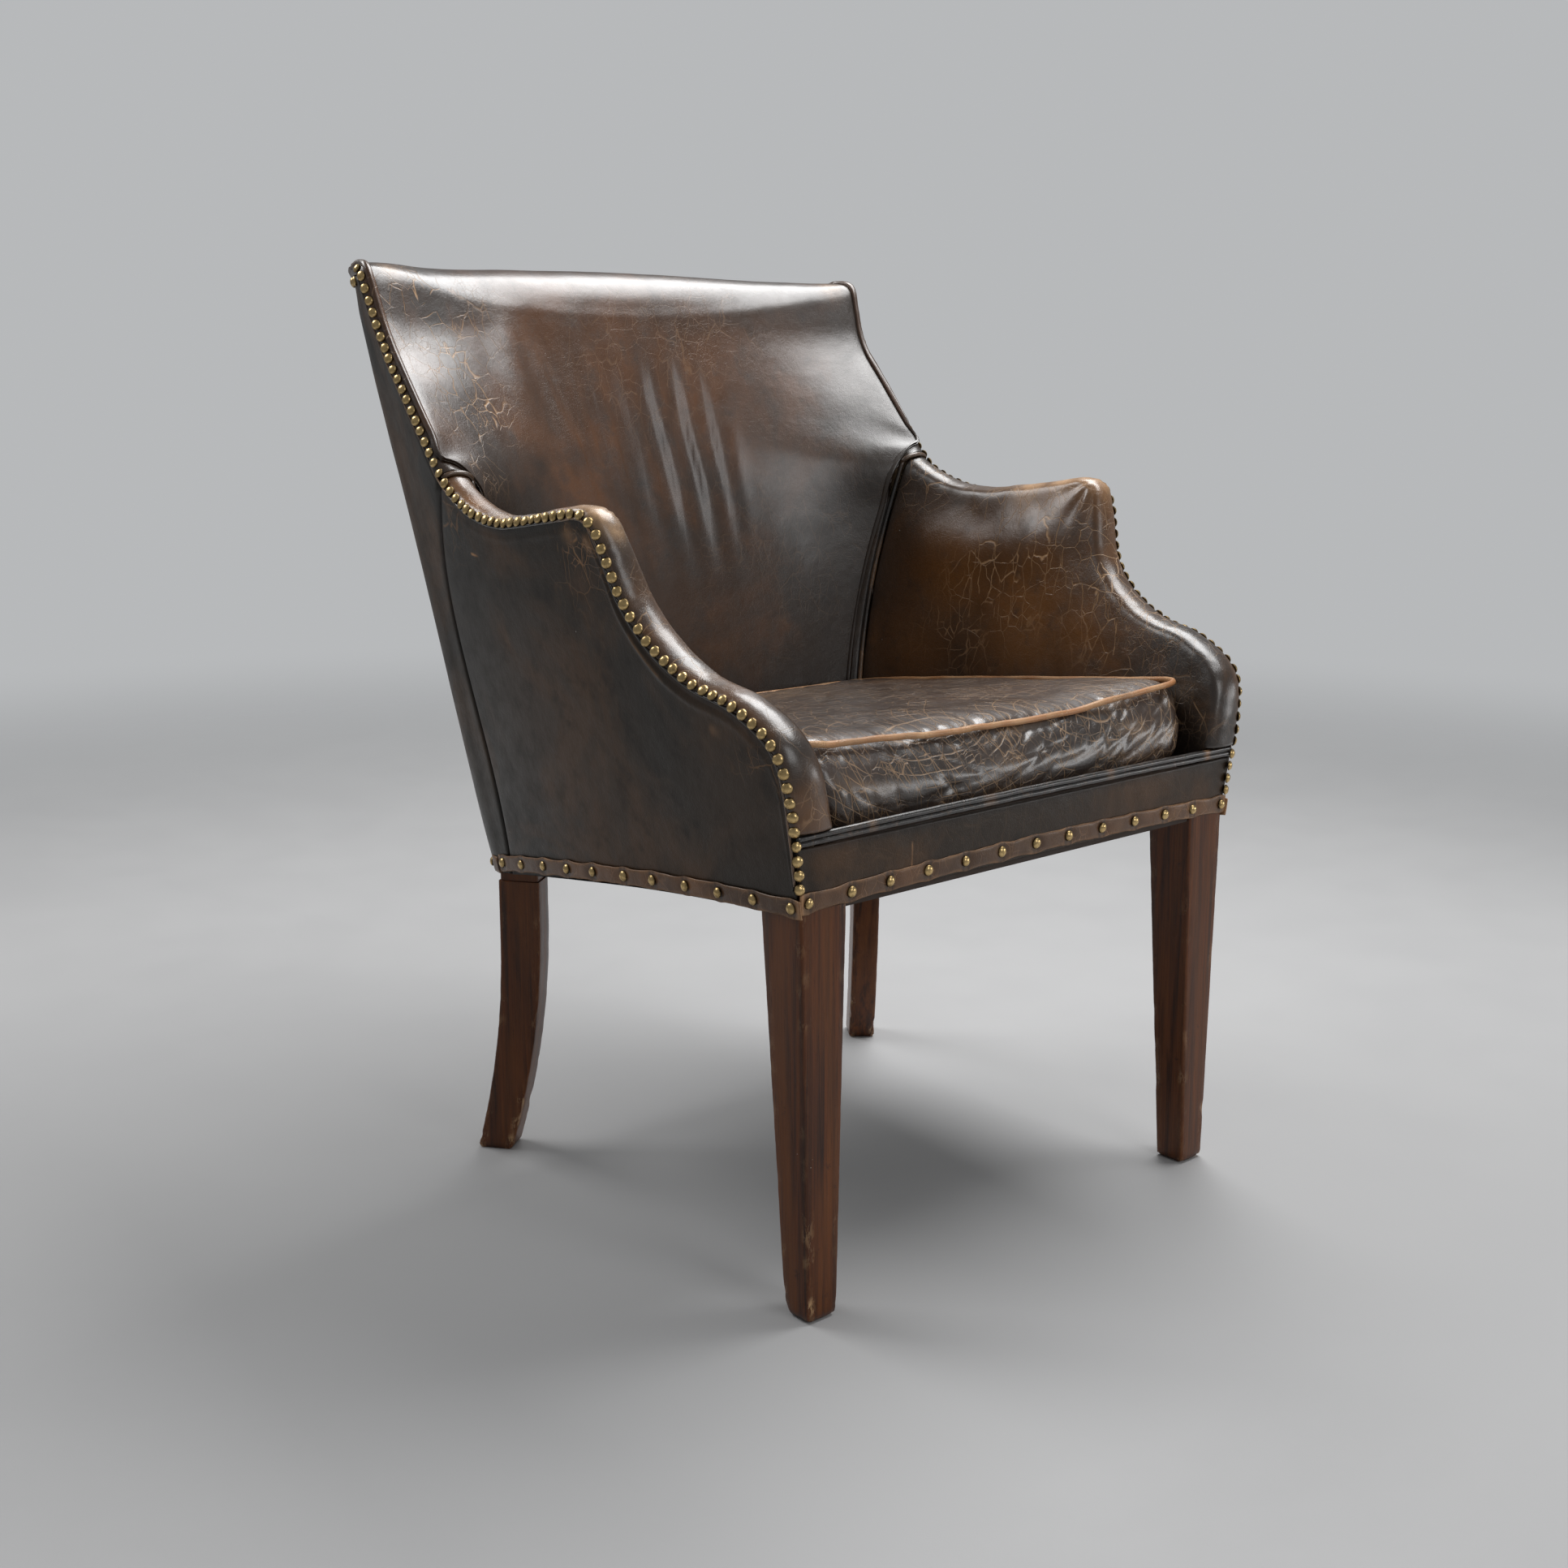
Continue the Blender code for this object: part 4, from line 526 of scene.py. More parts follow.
class Graph:
    """A material's nodes. Values may be numbers, colours or the outputs of other nodes."""

    def __init__(self, name):
        self.made = bpy.data.materials.new(name)
        self.made.use_nodes = True
        self.tree = self.made.node_tree
        self.shader = self.tree.nodes["Principled BSDF"]
        self.place = self.node("ShaderNodeTexCoord").outputs["Object"]

    def node(self, kind, inputs=None, **settings):
        made = self.tree.nodes.new(kind)
        for key, value in settings.items():
            setattr(made, key, value)
        for key, value in (inputs or {}).items():
            self.feed(made.inputs[key], value)
        return made

    def feed(self, socket, value):
        if isinstance(value, bpy.types.NodeSocket):
            self.tree.links.new(value, socket)
        elif isinstance(value, tuple) and len(value) == 3 and socket.type == "RGBA":
            socket.default_value = (*value, 1.0)
        else:
            socket.default_value = value

    def set(self, **inputs):
        for key, value in inputs.items():
            self.feed(self.shader.inputs[key.replace("_", " ")], value)

    def math(self, operation, *values):
        return self.node("ShaderNodeMath", dict(enumerate(values)), operation=operation).outputs[0]

    def vector(self, operation, *values):
        return self.node("ShaderNodeVectorMath", dict(enumerate(values)), operation=operation)

    def map(self, value, low, high, to_low=0.0, to_high=1.0):
        inputs = {"Value": value, "From Min": low, "From Max": high, "To Min": to_low, "To Max": to_high}
        return self.node("ShaderNodeMapRange", inputs, interpolation_type="SMOOTHSTEP").outputs[0]

    def mix(self, share, a, b):
        return self.node("ShaderNodeMix", {0: share, 6: a, 7: b}, data_type="RGBA").outputs[2]

    def noise(self, scale, detail=3.0, rough=0.55, place=None, twist=0.0):
        inputs = {"Scale": scale, "Detail": detail, "Roughness": rough, "Distortion": twist}
        inputs["Vector"] = place or self.place
        return self.node("ShaderNodeTexNoise", inputs).outputs[0]

    def cells(self, scale, place=None, feature="DISTANCE_TO_EDGE"):
        inputs = {"Scale": scale, "Vector": place or self.place}
        return self.node("ShaderNodeTexVoronoi", inputs, feature=feature).outputs["Distance"]

    def field(self, name):
        return self.node("ShaderNodeAttribute", attribute_name=name).outputs["Fac"]

    def stretched(self, x, y, z, turn=(0.0, 0.0, 0.0)):
        inputs = {"Vector": self.place, "Scale": (x, y, z), "Rotation": turn}
        return self.node("ShaderNodeMapping", inputs).outputs[0]

    def warped(self, amount, scale, place=None):
        """The place, pushed about by noise."""
        place = place or self.place
        colour = self.node("ShaderNodeTexNoise", {"Vector": place, "Scale": scale, "Detail": 3.0}).outputs["Color"]
        centred = self.vector("SUBTRACT", colour, (0.5, 0.5, 0.5)).outputs[0]
        push = self.node("ShaderNodeVectorMath", {0: centred, "Scale": amount}, operation="SCALE").outputs[0]
        return self.vector("ADD", place, push).outputs[0]

    def scratch(self, centre, along, half_length, half_width):
        """1 on a short straight scratch in the row frame, fading to 0 beside it."""
        offset = self.vector("SUBTRACT", self.place, centre).outputs[0]
        run = self.vector("DOT_PRODUCT", offset, along).outputs["Value"]
        down = self.node("ShaderNodeVectorMath", {0: along, "Scale": run}, operation="SCALE").outputs[0]
        beside = self.vector("DISTANCE", offset, down).outputs["Value"]
        ends = self.map(self.math("ABSOLUTE", run), half_length * 0.6, half_length, 1.0, 0.0)
        return self.math("MULTIPLY", self.map(beside, 0.0, half_width, 1.0, 0.0), ends)

    def bump(self, height, distance, strength=1.0, normal=None):
        inputs = {"Height": height, "Distance": distance, "Strength": strength}
        if normal:
            inputs["Normal"] = normal
        return self.node("ShaderNodeBump", inputs).outputs[0]


def leather(name, dark, warm, tan, rough=0.33, cell=0.026, coat=0.45, mottle=0.6, rings=(), fine_cracks=1.0, drag=0.5, gloss=0.5, scratches=()):
    """Old waxed hide: mottled, cracked down to the tan where its crack field says, rubbed to the tan where worn, a
    field that on the side panels' fold also paints a highlight line.
    """
    g = Graph(name)
    broad = g.noise(6.5, 4.0, 0.6, twist=0.6)
    small = g.noise(38.0, 5.0, 0.62)
    streak = g.noise(14.0, 4.0, 0.6, g.stretched(1.6, 1.6, 0.55), 0.4)
    reddened = g.math("MULTIPLY", g.map(broad, 0.44, 0.66), mottle)
    reddened = g.math("MULTIPLY", reddened, g.map(streak, 0.32, 0.62, 0.35, 1.0))
    reddened = g.node("ShaderNodeMath", {0: reddened, 1: g.field("warm")}, operation="ADD", use_clamp=True).outputs[0]
    colour = g.mix(reddened, dark, warm)
    colour = g.mix(g.map(small, 0.50, 0.78, 0.0, 0.55), colour, tuple(c * 0.42 for c in dark))
    # Tan where the wear field says: rubbed wear, and a painted highlight line along the side panels' fold.
    wear_and_highlight = g.math("MULTIPLY", g.field("wear_and_highlight"), g.map(g.noise(55.0, 6.0, 0.7), 0.28, 0.62, 0.35, 1.0))
    for scratch in scratches:
        wear_and_highlight = g.math("MAXIMUM", wear_and_highlight, g.scratch(*scratch))
    colour = g.mix(wear_and_highlight, colour, tan)
    place = g.warped(0.020, 22.0)
    fine_place = g.warped(0.007, 90.0)
    broken = g.map(g.noise(26.0, 3.0, 0.6), 0.40, 0.54)
    lines = g.math("MULTIPLY", g.map(g.cells(1 / cell, place), 0.0, 0.024, 1.0, 0.0), broken)
    hair = g.map(g.cells(2.9 / cell, fine_place), 0.0, 0.036, 1.0, 0.0)
    hair = g.math("MULTIPLY", hair, g.map(g.noise(17.0, 3.0, 0.55), 0.50, 0.64, 0.0, fine_cracks))
    lines = g.math("MAXIMUM", lines, g.math("MULTIPLY", hair, 0.8))
    drawn = g.node("ShaderNodeMapping", {"Vector": place, "Rotation": (0.0, drag, 0.0), "Scale": (1.0, 1.0, 0.30)})
    long = g.map(g.cells(1.25 / cell, drawn.outputs[0]), 0.0, 0.030, 1.0, 0.0)
    long = g.math("MULTIPLY", long, g.map(g.noise(21.0, 3.0, 0.6, twist=0.3), 0.46, 0.56))
    lines = g.math("MAXIMUM", lines, long)
    for centre, pitch, width, share in rings:
        away = g.vector("DISTANCE", g.warped(0.016, 13.0), centre).outputs["Value"]
        arc = g.map(g.math("PINGPONG", away, pitch / 2), 0.0, width, 1.0, 0.0)
        arc = g.math("MULTIPLY", arc, g.map(g.noise(19.0 + 500.0 * width, 3.0, 0.6, twist=0.2), 0.42, 0.54, 0.0, share))
        lines = g.math("MAXIMUM", lines, arc)
    cracked = g.math("MULTIPLY", lines, g.field("crack"))
    colour = g.mix(g.math("MULTIPLY", cracked, 0.9), colour, tan)
    speck = g.map(g.cells(46.0, feature="F1"), 0.0, 0.045, 1.0, 0.0)
    speck = g.math("MULTIPLY", speck, g.map(g.noise(31.0, 2.0), 0.60, 0.64))
    colour = g.mix(speck, colour, (0.62, 0.58, 0.52))
    # Near black where the field says: painted shade in seams, grooves, gaps and under the welts, and dirt elsewhere.
    colour = g.mix(g.math("MULTIPLY", g.field("grime_and_shade"), 0.85), colour, (0.010, 0.007, 0.006))
    g.set(Base_Color=colour)
    dull = g.math("MULTIPLY", g.math("MAXIMUM", cracked, wear_and_highlight), 0.20)
    dull = g.math("ADD", dull, g.map(small, 0.25, 0.80, rough - 0.05, rough + 0.12))
    g.set(Roughness=dull)
    g.shader.inputs["Coat Weight"].default_value = coat
    g.shader.inputs["Coat Roughness"].default_value = 0.23
    g.shader.inputs["Specular IOR Level"].default_value = gloss
    pores = g.math("ADD", g.noise(1150.0, 2.0), g.map(g.cells(620.0, feature="F1"), 0.0, 0.6, -0.6, 0.0))
    normal = g.bump(pores, 0.00022, 0.55)
    normal = g.bump(g.noise(95.0, 5.0, 0.6, g.warped(0.010, 30.0)), 0.0016, 0.32, normal)
    normal = g.bump(cracked, -0.0007, 0.8, normal)
    g.set(Normal=normal)
    return g.made


def brass():
    g = Graph("aged_brass")
    tarnish = g.math("ADD", g.field("grime_and_shade"), g.map(g.noise(420.0, 4.0), 0.45, 0.75, 0.0, 0.5))
    colour = g.mix(g.noise(130.0, 2.0), (0.78, 0.57, 0.28), (0.55, 0.38, 0.16))
    colour = g.mix(g.node("ShaderNodeMath", {0: tarnish, 1: 0.92}, operation="MULTIPLY", use_clamp=True).outputs[0], colour, (0.035, 0.022, 0.012))
    g.set(Base_Color=colour, Roughness=g.map(tarnish, 0.0, 1.0, 0.27, 0.62))
    g.shader.inputs["Metallic"].default_value = 1.0
    g.set(Normal=g.bump(g.noise(900.0, 4.0), 0.0002, 0.25))
    return g.made


def polished_wood():
    """Red-brown mahogany with its grain running up the legs, worn through where its wear field says."""
    g = Graph("polished_mahogany")
    grain = g.noise(1.0, 6.0, 0.65, g.stretched(210.0, 210.0, 5.0), 0.5)
    pores = g.noise(1.0, 4.0, 0.7, g.stretched(900.0, 900.0, 28.0))
    figure = g.noise(1.0, 3.0, 0.5, g.stretched(26.0, 26.0, 2.2), 1.4)
    colour = g.mix(g.map(grain, 0.30, 0.72), (0.024, 0.0066, 0.0024), (0.136, 0.037, 0.0066))
    colour = g.mix(g.map(figure, 0.35, 0.70, 0.0, 0.6), colour, (0.168, 0.052, 0.0090))
    colour = g.mix(g.map(pores, 0.56, 0.72, 0.0, 0.65), colour, (0.012, 0.004, 0.003))
    scuff = g.map(g.noise(60.0, 5.0, 0.7), 0.62, 0.72, 0.0, 0.5)
    colour = g.mix(scuff, colour, (0.010, 0.004, 0.003))
    wear_and_highlight = g.math("MULTIPLY", g.field("wear_and_highlight"), g.map(g.noise(150.0, 5.0, 0.8, g.stretched(1.0, 1.0, 0.30)), 0.47, 0.57))
    colour = g.mix(wear_and_highlight, colour, (0.50, 0.30, 0.15))
    speck = g.math("MULTIPLY", g.map(g.cells(95.0, feature="F1"), 0.0, 0.06, 1.0, 0.0), g.map(g.noise(24.0), 0.58, 0.62))
    colour = g.mix(speck, colour, (0.60, 0.53, 0.45))
    colour = g.mix(g.math("MULTIPLY", g.field("grime_and_shade"), 0.7), colour, (0.012, 0.006, 0.004))
    g.set(Base_Color=colour)
    g.set(Roughness=g.math("ADD", g.map(grain, 0.2, 0.8, 0.28, 0.40), g.math("MULTIPLY", wear_and_highlight, 0.3)))
    g.shader.inputs["Specular IOR Level"].default_value = 0.30
    g.shader.inputs["Coat Weight"].default_value = 0.12
    g.shader.inputs["Coat Roughness"].default_value = 0.18
    normal = g.bump(pores, 0.0003, 0.35)
    g.set(Normal=g.bump(wear_and_highlight, -0.0008, 0.8, normal))
    return g.made


def bare_wood(name, dark, light):
    g = Graph(name)
    grain = g.noise(1.0, 5.0, 0.6, g.stretched(30.0, 160.0, 160.0), 0.5)
    g.set(Base_Color=g.mix(grain, dark, light))
    g.set(Roughness=g.map(grain, 0.2, 0.8, 0.6, 0.8), Normal=g.bump(grain, 0.0005, 0.4))
    return g.made


def woven(name, light, dark, pitch):
    """Plain weave, with threads this far apart."""
    g = Graph(name)
    parts = g.node("ShaderNodeSeparateXYZ", {0: g.place}).outputs
    across = g.math("SINE", g.math("MULTIPLY", parts[0], 2 * math.pi / pitch))
    along = g.math("SINE", g.math("MULTIPLY", g.math("ADD", parts[1], parts[2]), 2 * math.pi / pitch))
    weave = g.math("MULTIPLY", across, along)
    fuzz = g.noise(300.0, 4.0)
    height = g.math("ADD", weave, fuzz)
    g.set(Base_Color=g.mix(g.map(height, -0.8, 1.6), dark, light))
    g.set(Roughness=g.map(fuzz, 0.0, 1.0, 0.85, 1.0), Normal=g.bump(height, 0.0005, 0.6))
    return g.made


def floor_material():
    """Pale and matt, and with distance as pale as the sky behind it."""
    g = Graph("pale_floor")
    tone = g.mix(g.noise(2.2, 4.0), (0.47, 0.47, 0.475), (0.52, 0.52, 0.52))
    g.set(Base_Color=tone, Roughness=g.map(g.noise(9.0, 4.0), 0.3, 0.7, 0.62, 0.75))
    g.set(Normal=g.bump(g.noise(700.0, 3.0), 0.0003, 0.25))
    # The floor's edge fades into the backdrop
    away = g.vector("LENGTH", g.place).outputs["Value"]
    clear = g.node("ShaderNodeBsdfTransparent").outputs[0]
    mixed = g.node("ShaderNodeMixShader", {0: g.map(away, 1.3, 3.6), 1: g.shader.outputs[0], 2: clear}).outputs[0]
    g.tree.links.new(mixed, g.tree.nodes["Material Output"].inputs["Surface"])
    return g.made


DARK, WARM, TAN = (0.0235, 0.0145, 0.0090), (0.115, 0.042, 0.0125), (0.42, 0.225, 0.105)


def make_materials():
    made = {
        "back": leather("hide_back", DARK, (0.110, 0.042, 0.0125), (0.56, 0.34, 0.18), 0.34, 0.024, 0.70, 0.60, drag=-0.55, gloss=0.5),
        "arm": leather("hide_arm", DARK, (0.190, 0.075, 0.0150), (0.60, 0.36, 0.18), 0.34, 0.024, 0.70, 0.50, gloss=0.5),
        "outside": leather(
            "hide_outside", (0.0165, 0.0130, 0.0090), (0.070, 0.034, 0.0135), TAN, 0.42, 0.030, 0.15, 0.95, gloss=0.28,
            scratches=(
                ((-0.312, 0.405 + SHIFT, 0.6140), (0.0, 1.0, 0.05), 0.0100, 0.0022),
                ((-0.311, 0.425 + SHIFT, 0.6150), (0.0, 0.3, 1.0), 0.0030, 0.0016),
                ((-0.1535, -0.003 + SHIFT, 0.385), (0.02, 0.0, 1.0), 0.0150, 0.0018),
            ),
        ),
        "seat": leather(
            "hide_seat", (0.026, 0.0165, 0.0115), (0.075, 0.037, 0.0190), (0.37, 0.225, 0.115), 0.34, 0.017, 0.80, 0.5,
            rings=(
                ((-0.090, 0.0 + SHIFT, 0.640), 0.0115, 0.0008, 1.0),
                ((0.125, -0.02 + SHIFT, 0.590), 0.0135, 0.0008, 1.0),
                ((0.330, 0.03 + SHIFT, 0.520), 0.0170, 0.0008, 1.0),
            ),
            fine_cracks=0.5, drag=1.32, gloss=0.6,
        ),
        "band": leather("hide_band", (0.080, 0.038, 0.0170), (0.175, 0.078, 0.0300), TAN, 0.40, 0.018, 0.25, 0.9, gloss=0.4),
        "piping": leather("hide_piping", (0.420, 0.175, 0.0620), (0.520, 0.245, 0.0980), (0.66, 0.42, 0.22), 0.42, 0.010, 0.15, 0.8),
        "black": leather("hide_black", (0.011, 0.0085, 0.0072), (0.030, 0.017, 0.0100), TAN, 0.30, 0.030, 0.70, 0.4),
        "brass": brass(),
        "wood": polished_wood(),
        "beech": bare_wood("bare_beech", (0.33, 0.21, 0.12), (0.52, 0.37, 0.22)),
        "stained": bare_wood("stained_beech", (0.020, 0.011, 0.007), (0.045, 0.024, 0.014)),
        "jute": woven("jute_webbing", (0.50, 0.40, 0.26), (0.22, 0.16, 0.09), 0.0035),
        "wadding": woven("cotton_cover", (0.46, 0.39, 0.28), (0.25, 0.20, 0.13), 0.0012),
        "cloth": woven("black_cloth", (0.045, 0.045, 0.048), (0.012, 0.012, 0.014), 0.0011),
    }
    return made


def dress_frame(materials):
    """The hidden pieces keep their shapes and take real materials."""
    kinds = {
        "beech": ["stay_rail", "top_rail"],
        "stained": ["front_rail", "side_rail_left", "side_rail_right", "back_rail"],
        "jute": ["seat_webbing", "back_webbing"],
        "wadding": ["seat_pad", "back_padding", "arm_padding_left", "arm_padding_right"],
    }
    kinds["beech"] += [f"{n}_{side}" for n in ("arm_stump", "arm_rail", "wing_board") for side in ("left", "right")]
    for kind, names in kinds.items():
        for name in names:
            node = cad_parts[name]
            node.data.materials.clear()
            node.data.materials.append(materials[kind])


# The leather


def make_back(materials):
    """The inside back, and the pull of its row of nails."""
    grid, marks, ends, wing = fine_back()
    facing = np.array([0.0, -1.0, 0.3])
    normals = normals_of(grid, facing)
    push = fold_height(grid)
    inner = smooth((1.02 - np.abs(marks)) / 0.20)[None, :]
    lumps = 0.0010 * ripple(grid, 0.100, 3.1) + 0.00022 * ripple(grid, 0.030, 9.7) + 0.00009 * ripple(grid, 0.011, 5.3)
    push = push * inner + lumps * (0.35 + 0.65 * inner)
    crease = np.exp(-(((np.abs(marks) - 1.03) / 0.035) ** 2))[None, :] * smooth((ends - wing) / 1.5)[:, None]
    crease = crease * smooth((len(ends) * 0.12 + wing + 7.0 - ends) / 3.0)[:, None]
    push = push - 0.0012 * crease
    grid = grid + normals * push[..., None]
    points, faces = sheet_shape(grid, facing)
    where = grid.reshape(-1, 3)
    crack = spots(where, (
        (-0.255, 0.560, 0.810, 0.060, 1.3), (-0.235, 0.530, 0.748, 0.044, 1.2), (-0.265, 0.575, 0.850, 0.035, 1.0),
        (-0.190, 0.580, 0.842, 0.030, 0.35), (0.09, 0.59, 0.835, 0.08, 0.22), (-0.250, 0.480, 0.690, 0.030, 0.55),
        (0.15, 0.50, 0.60, 0.12, 0.10), (0.0, 0.58, 0.79, 0.10, 0.16),
    ))
    warm = spots(where, (
        (-0.12, 0.580, 0.835, 0.070, 0.75), (-0.03, 0.585, 0.800, 0.075, 0.75), (0.08, 0.585, 0.785, 0.085, 0.65),
        (0.200, 0.57, 0.790, 0.060, 0.50), (-0.19, 0.54, 0.73, 0.05, 0.50), (-0.060, 0.54, 0.70, 0.05, 0.65),
        (-0.10, 0.53, 0.67, 0.05, 0.5), (0.09, 0.56, 0.72, 0.05, 0.45), (-0.285, 0.545, 0.77, 0.035, 0.7),
        (-0.290, 0.500, 0.715, 0.035, 0.6), (0.02, 0.50, 0.52, 0.10, 0.3),
    ))
    edge = np.abs(marks)[None, :] * np.ones((len(grid), 1))
    strip = smooth((edge - 1.0) / 0.15) * smooth((ends - wing) / 2.0)[:, None]
    warm = np.maximum(warm, 0.55 * strip.ravel())
    # Painted shade: darker from the wing's nail line out to its tucked edge, and low down where the back goes behind
    # the cushion.
    grime_and_shade = 0.85 * smooth((edge - 1.60) / 0.15) * smooth((ends - wing + 1.0) / 2.0)[:, None]
    grime_and_shade = np.maximum(grime_and_shade, 0.8 * np.exp(-((0.42 - grid[..., 2]).clip(-1, 0) / 0.03) ** 2) * (grid[..., 1] < 0.51))
    wear_and_highlight = spots(where, ((-0.287, 0.583, 0.874, 0.010, 0.5), (0.287, 0.583, 0.874, 0.012, 0.5)))
    fields = {"crack": doubled(crack), "warm": doubled(warm), "grime_and_shade": doubled(grime_and_shade), "wear_and_highlight": doubled(wear_and_highlight)}
    made = piece("back_leather", solid_mesh("back_leather", points, faces), materials["back"], ["inside_back"], fields)
    return grid, marks, ends, wing


def arm_grid(side):
    """The outer grid of an arm's inside leather, with its puckers and lumps."""
    stations = np.linspace(ARM_START, SEAM_STATION, 250)
    over = np.concatenate([np.linspace(0, ROLL_SHARE, 30), np.linspace(ROLL_SHARE, 1.0, 26)[1:]])
    grid = arm_inside_point(stations[:, None], over[None, :])
    # The turn from roll to inside is eased by averaging along each column
    for _ in range(10):
        grid[:, 1:-1] = 0.25 * grid[:, :-2] + 0.5 * grid[:, 1:-1] + 0.25 * grid[:, 2:]
    grid = grid * (side, 1, 1)
    facing = np.array([-side * 1.0, -0.2, 0.5])
    normals = normals_of(grid, facing)
    seed = 11.0 if side > 0 else 23.0
    lumps = 0.0013 * ripple(grid, 0.060, seed) + 0.0006 * ripple(grid, 0.024, seed + 4) + 0.0002 * ripple(grid, 0.009, seed + 7)
    away = np.minimum(over / 0.06, 1.0)[None, :]
    pucker = 0.0005 * np.cos(2 * math.pi * stations / NAIL_PITCH)[:, None] * np.exp(-((over / 0.10) ** 2))[None, :]
    pad = ARM_PAD * np.exp(-(((over - 0.565) / 0.062) ** 2))[None, :] * smooth((stations - 0.345) / 0.09)[:, None]
    pad = pad * smooth((SEAM_STATION - stations) / 0.07)[:, None]
    grid = grid + normals * (lumps * away - pucker + pad)[..., None]
    y, z = grid[..., 1], grid[..., 2]
    # Soft drags that fan out of the knuckle
    turn = np.arctan2(z - 0.668, y - 0.200)
    near = np.exp(-(((y - 0.215) ** 2 + (z - 0.650) ** 2) / 0.030**2))
    grid = grid + normals * (0.0010 * near * np.sin(turn * 9.0 + 2.0) * away)[..., None]
    return grid, stations, over, facing


def make_arm(side, materials):
    grid, stations, over, facing = arm_grid(side)
    points, faces = sheet_shape(grid, facing)
    where = grid.reshape(-1, 3)
    if side > 0:
        crack = spots(where, (
            (0.290, 0.240, 0.600, 0.060, 1.0), (0.285, 0.170, 0.585, 0.055, 1.0), (0.285, 0.300, 0.560, 0.060, 0.9),
            (0.300, 0.400, 0.660, 0.030, 0.7), (0.310, 0.430, 0.665, 0.040, 0.9), (0.275, 0.110, 0.530, 0.055, 0.9),
            (0.305, 0.050, 0.515, 0.040, 0.5), (0.272, 0.340, 0.500, 0.050, 0.45), (0.300, 0.300, 0.650, 0.050, 0.6),
            (0.262, 0.030, 0.455, 0.030, 0.8),
        ))
        warm = spots(where, (
            (0.275, 0.360, 0.560, 0.075, 0.85), (0.270, 0.250, 0.530, 0.085, 0.95), (0.270, 0.180, 0.520, 0.060, 0.8),
            (0.262, 0.400, 0.480, 0.070, 0.6), (0.330, 0.260, 0.655, 0.070, 0.8),
        ))
        wear_and_highlight = spots(where, (
            (0.325, 0.212, 0.668, 0.022, 0.95), (0.318, 0.240, 0.666, 0.022, 0.95), (0.312, 0.285, 0.658, 0.022, 0.75),
            (0.312, 0.208, 0.658, 0.012, 0.8), (0.264, 0.035, 0.470, 0.010, 0.5), (0.330, 0.330, 0.655, 0.026, 0.35),
        ))
    else:
        crack = spots(where, (
            (-0.325, 0.380, 0.655, 0.035, 0.8), (-0.310, 0.150, 0.590, 0.030, 0.25), (-0.290, 0.030, 0.500, 0.035, 0.3),
            (-0.265, 0.010, 0.440, 0.025, 0.7), (-0.285, 0.250, 0.600, 0.060, 0.7), (-0.280, 0.150, 0.560, 0.060, 0.7),
        ))
        warm = spots(where, (
            (-0.320, 0.400, 0.665, 0.040, 0.9), (-0.318, 0.440, 0.680, 0.035, 0.8), (-0.275, 0.250, 0.540, 0.09, 0.8),
            (-0.282, 0.000, 0.440, 0.030, 0.55), (-0.325, 0.240, 0.664, 0.035, 0.9),
        ))
        wear_and_highlight = spots(where, (
            (-0.318, 0.197, 0.669, 0.018, 1.0), (-0.312, 0.186, 0.655, 0.011, 0.8), (-0.330, 0.215, 0.672, 0.016, 0.7),
            (-0.325, 0.345, 0.652, 0.014, 0.6),
        ))
    strip = np.exp(-((over / 0.10) ** 2))[None, :] * np.ones((len(stations), 1))
    warm = np.maximum(warm, 0.4 * strip.ravel())
    # Painted shade: darker along the nail line and the groove below it, low on the inside face beside the cushion, and
    # in the corner by the back.
    grime_and_shade = 0.85 * smooth((0.085 - over) / 0.04)[None, :] * np.ones((len(stations), 1))
    low = np.exp(-(np.maximum(grid[..., 2] - deck(grid[..., 1]) - 0.055, 0) / 0.018) ** 2)
    back = smooth((stations - SEAM_STATION + 0.012) / 0.012)[:, None] * np.ones((1, len(over)))
    inside = smooth((over - 0.55) / 0.1)[None, :]
    grime_and_shade = np.maximum(grime_and_shade, np.maximum(0.75 * low * inside, 0.6 * back))
    name = "left" if side > 0 else "right"
    fields = {"crack": doubled(crack), "warm": doubled(warm), "grime_and_shade": doubled(grime_and_shade), "wear_and_highlight": doubled(wear_and_highlight)}
    mesh = solid_mesh("arm_leather_" + name, points, faces)
    made = piece("arm_leather_" + name, mesh, materials["arm"], ["inside_arm_" + name], fields)
    return grid


def seam_bow(t):
    return 0.050 * np.sin(math.pi * t**1.8) - SEAM_LEAN * (1 - t * t)


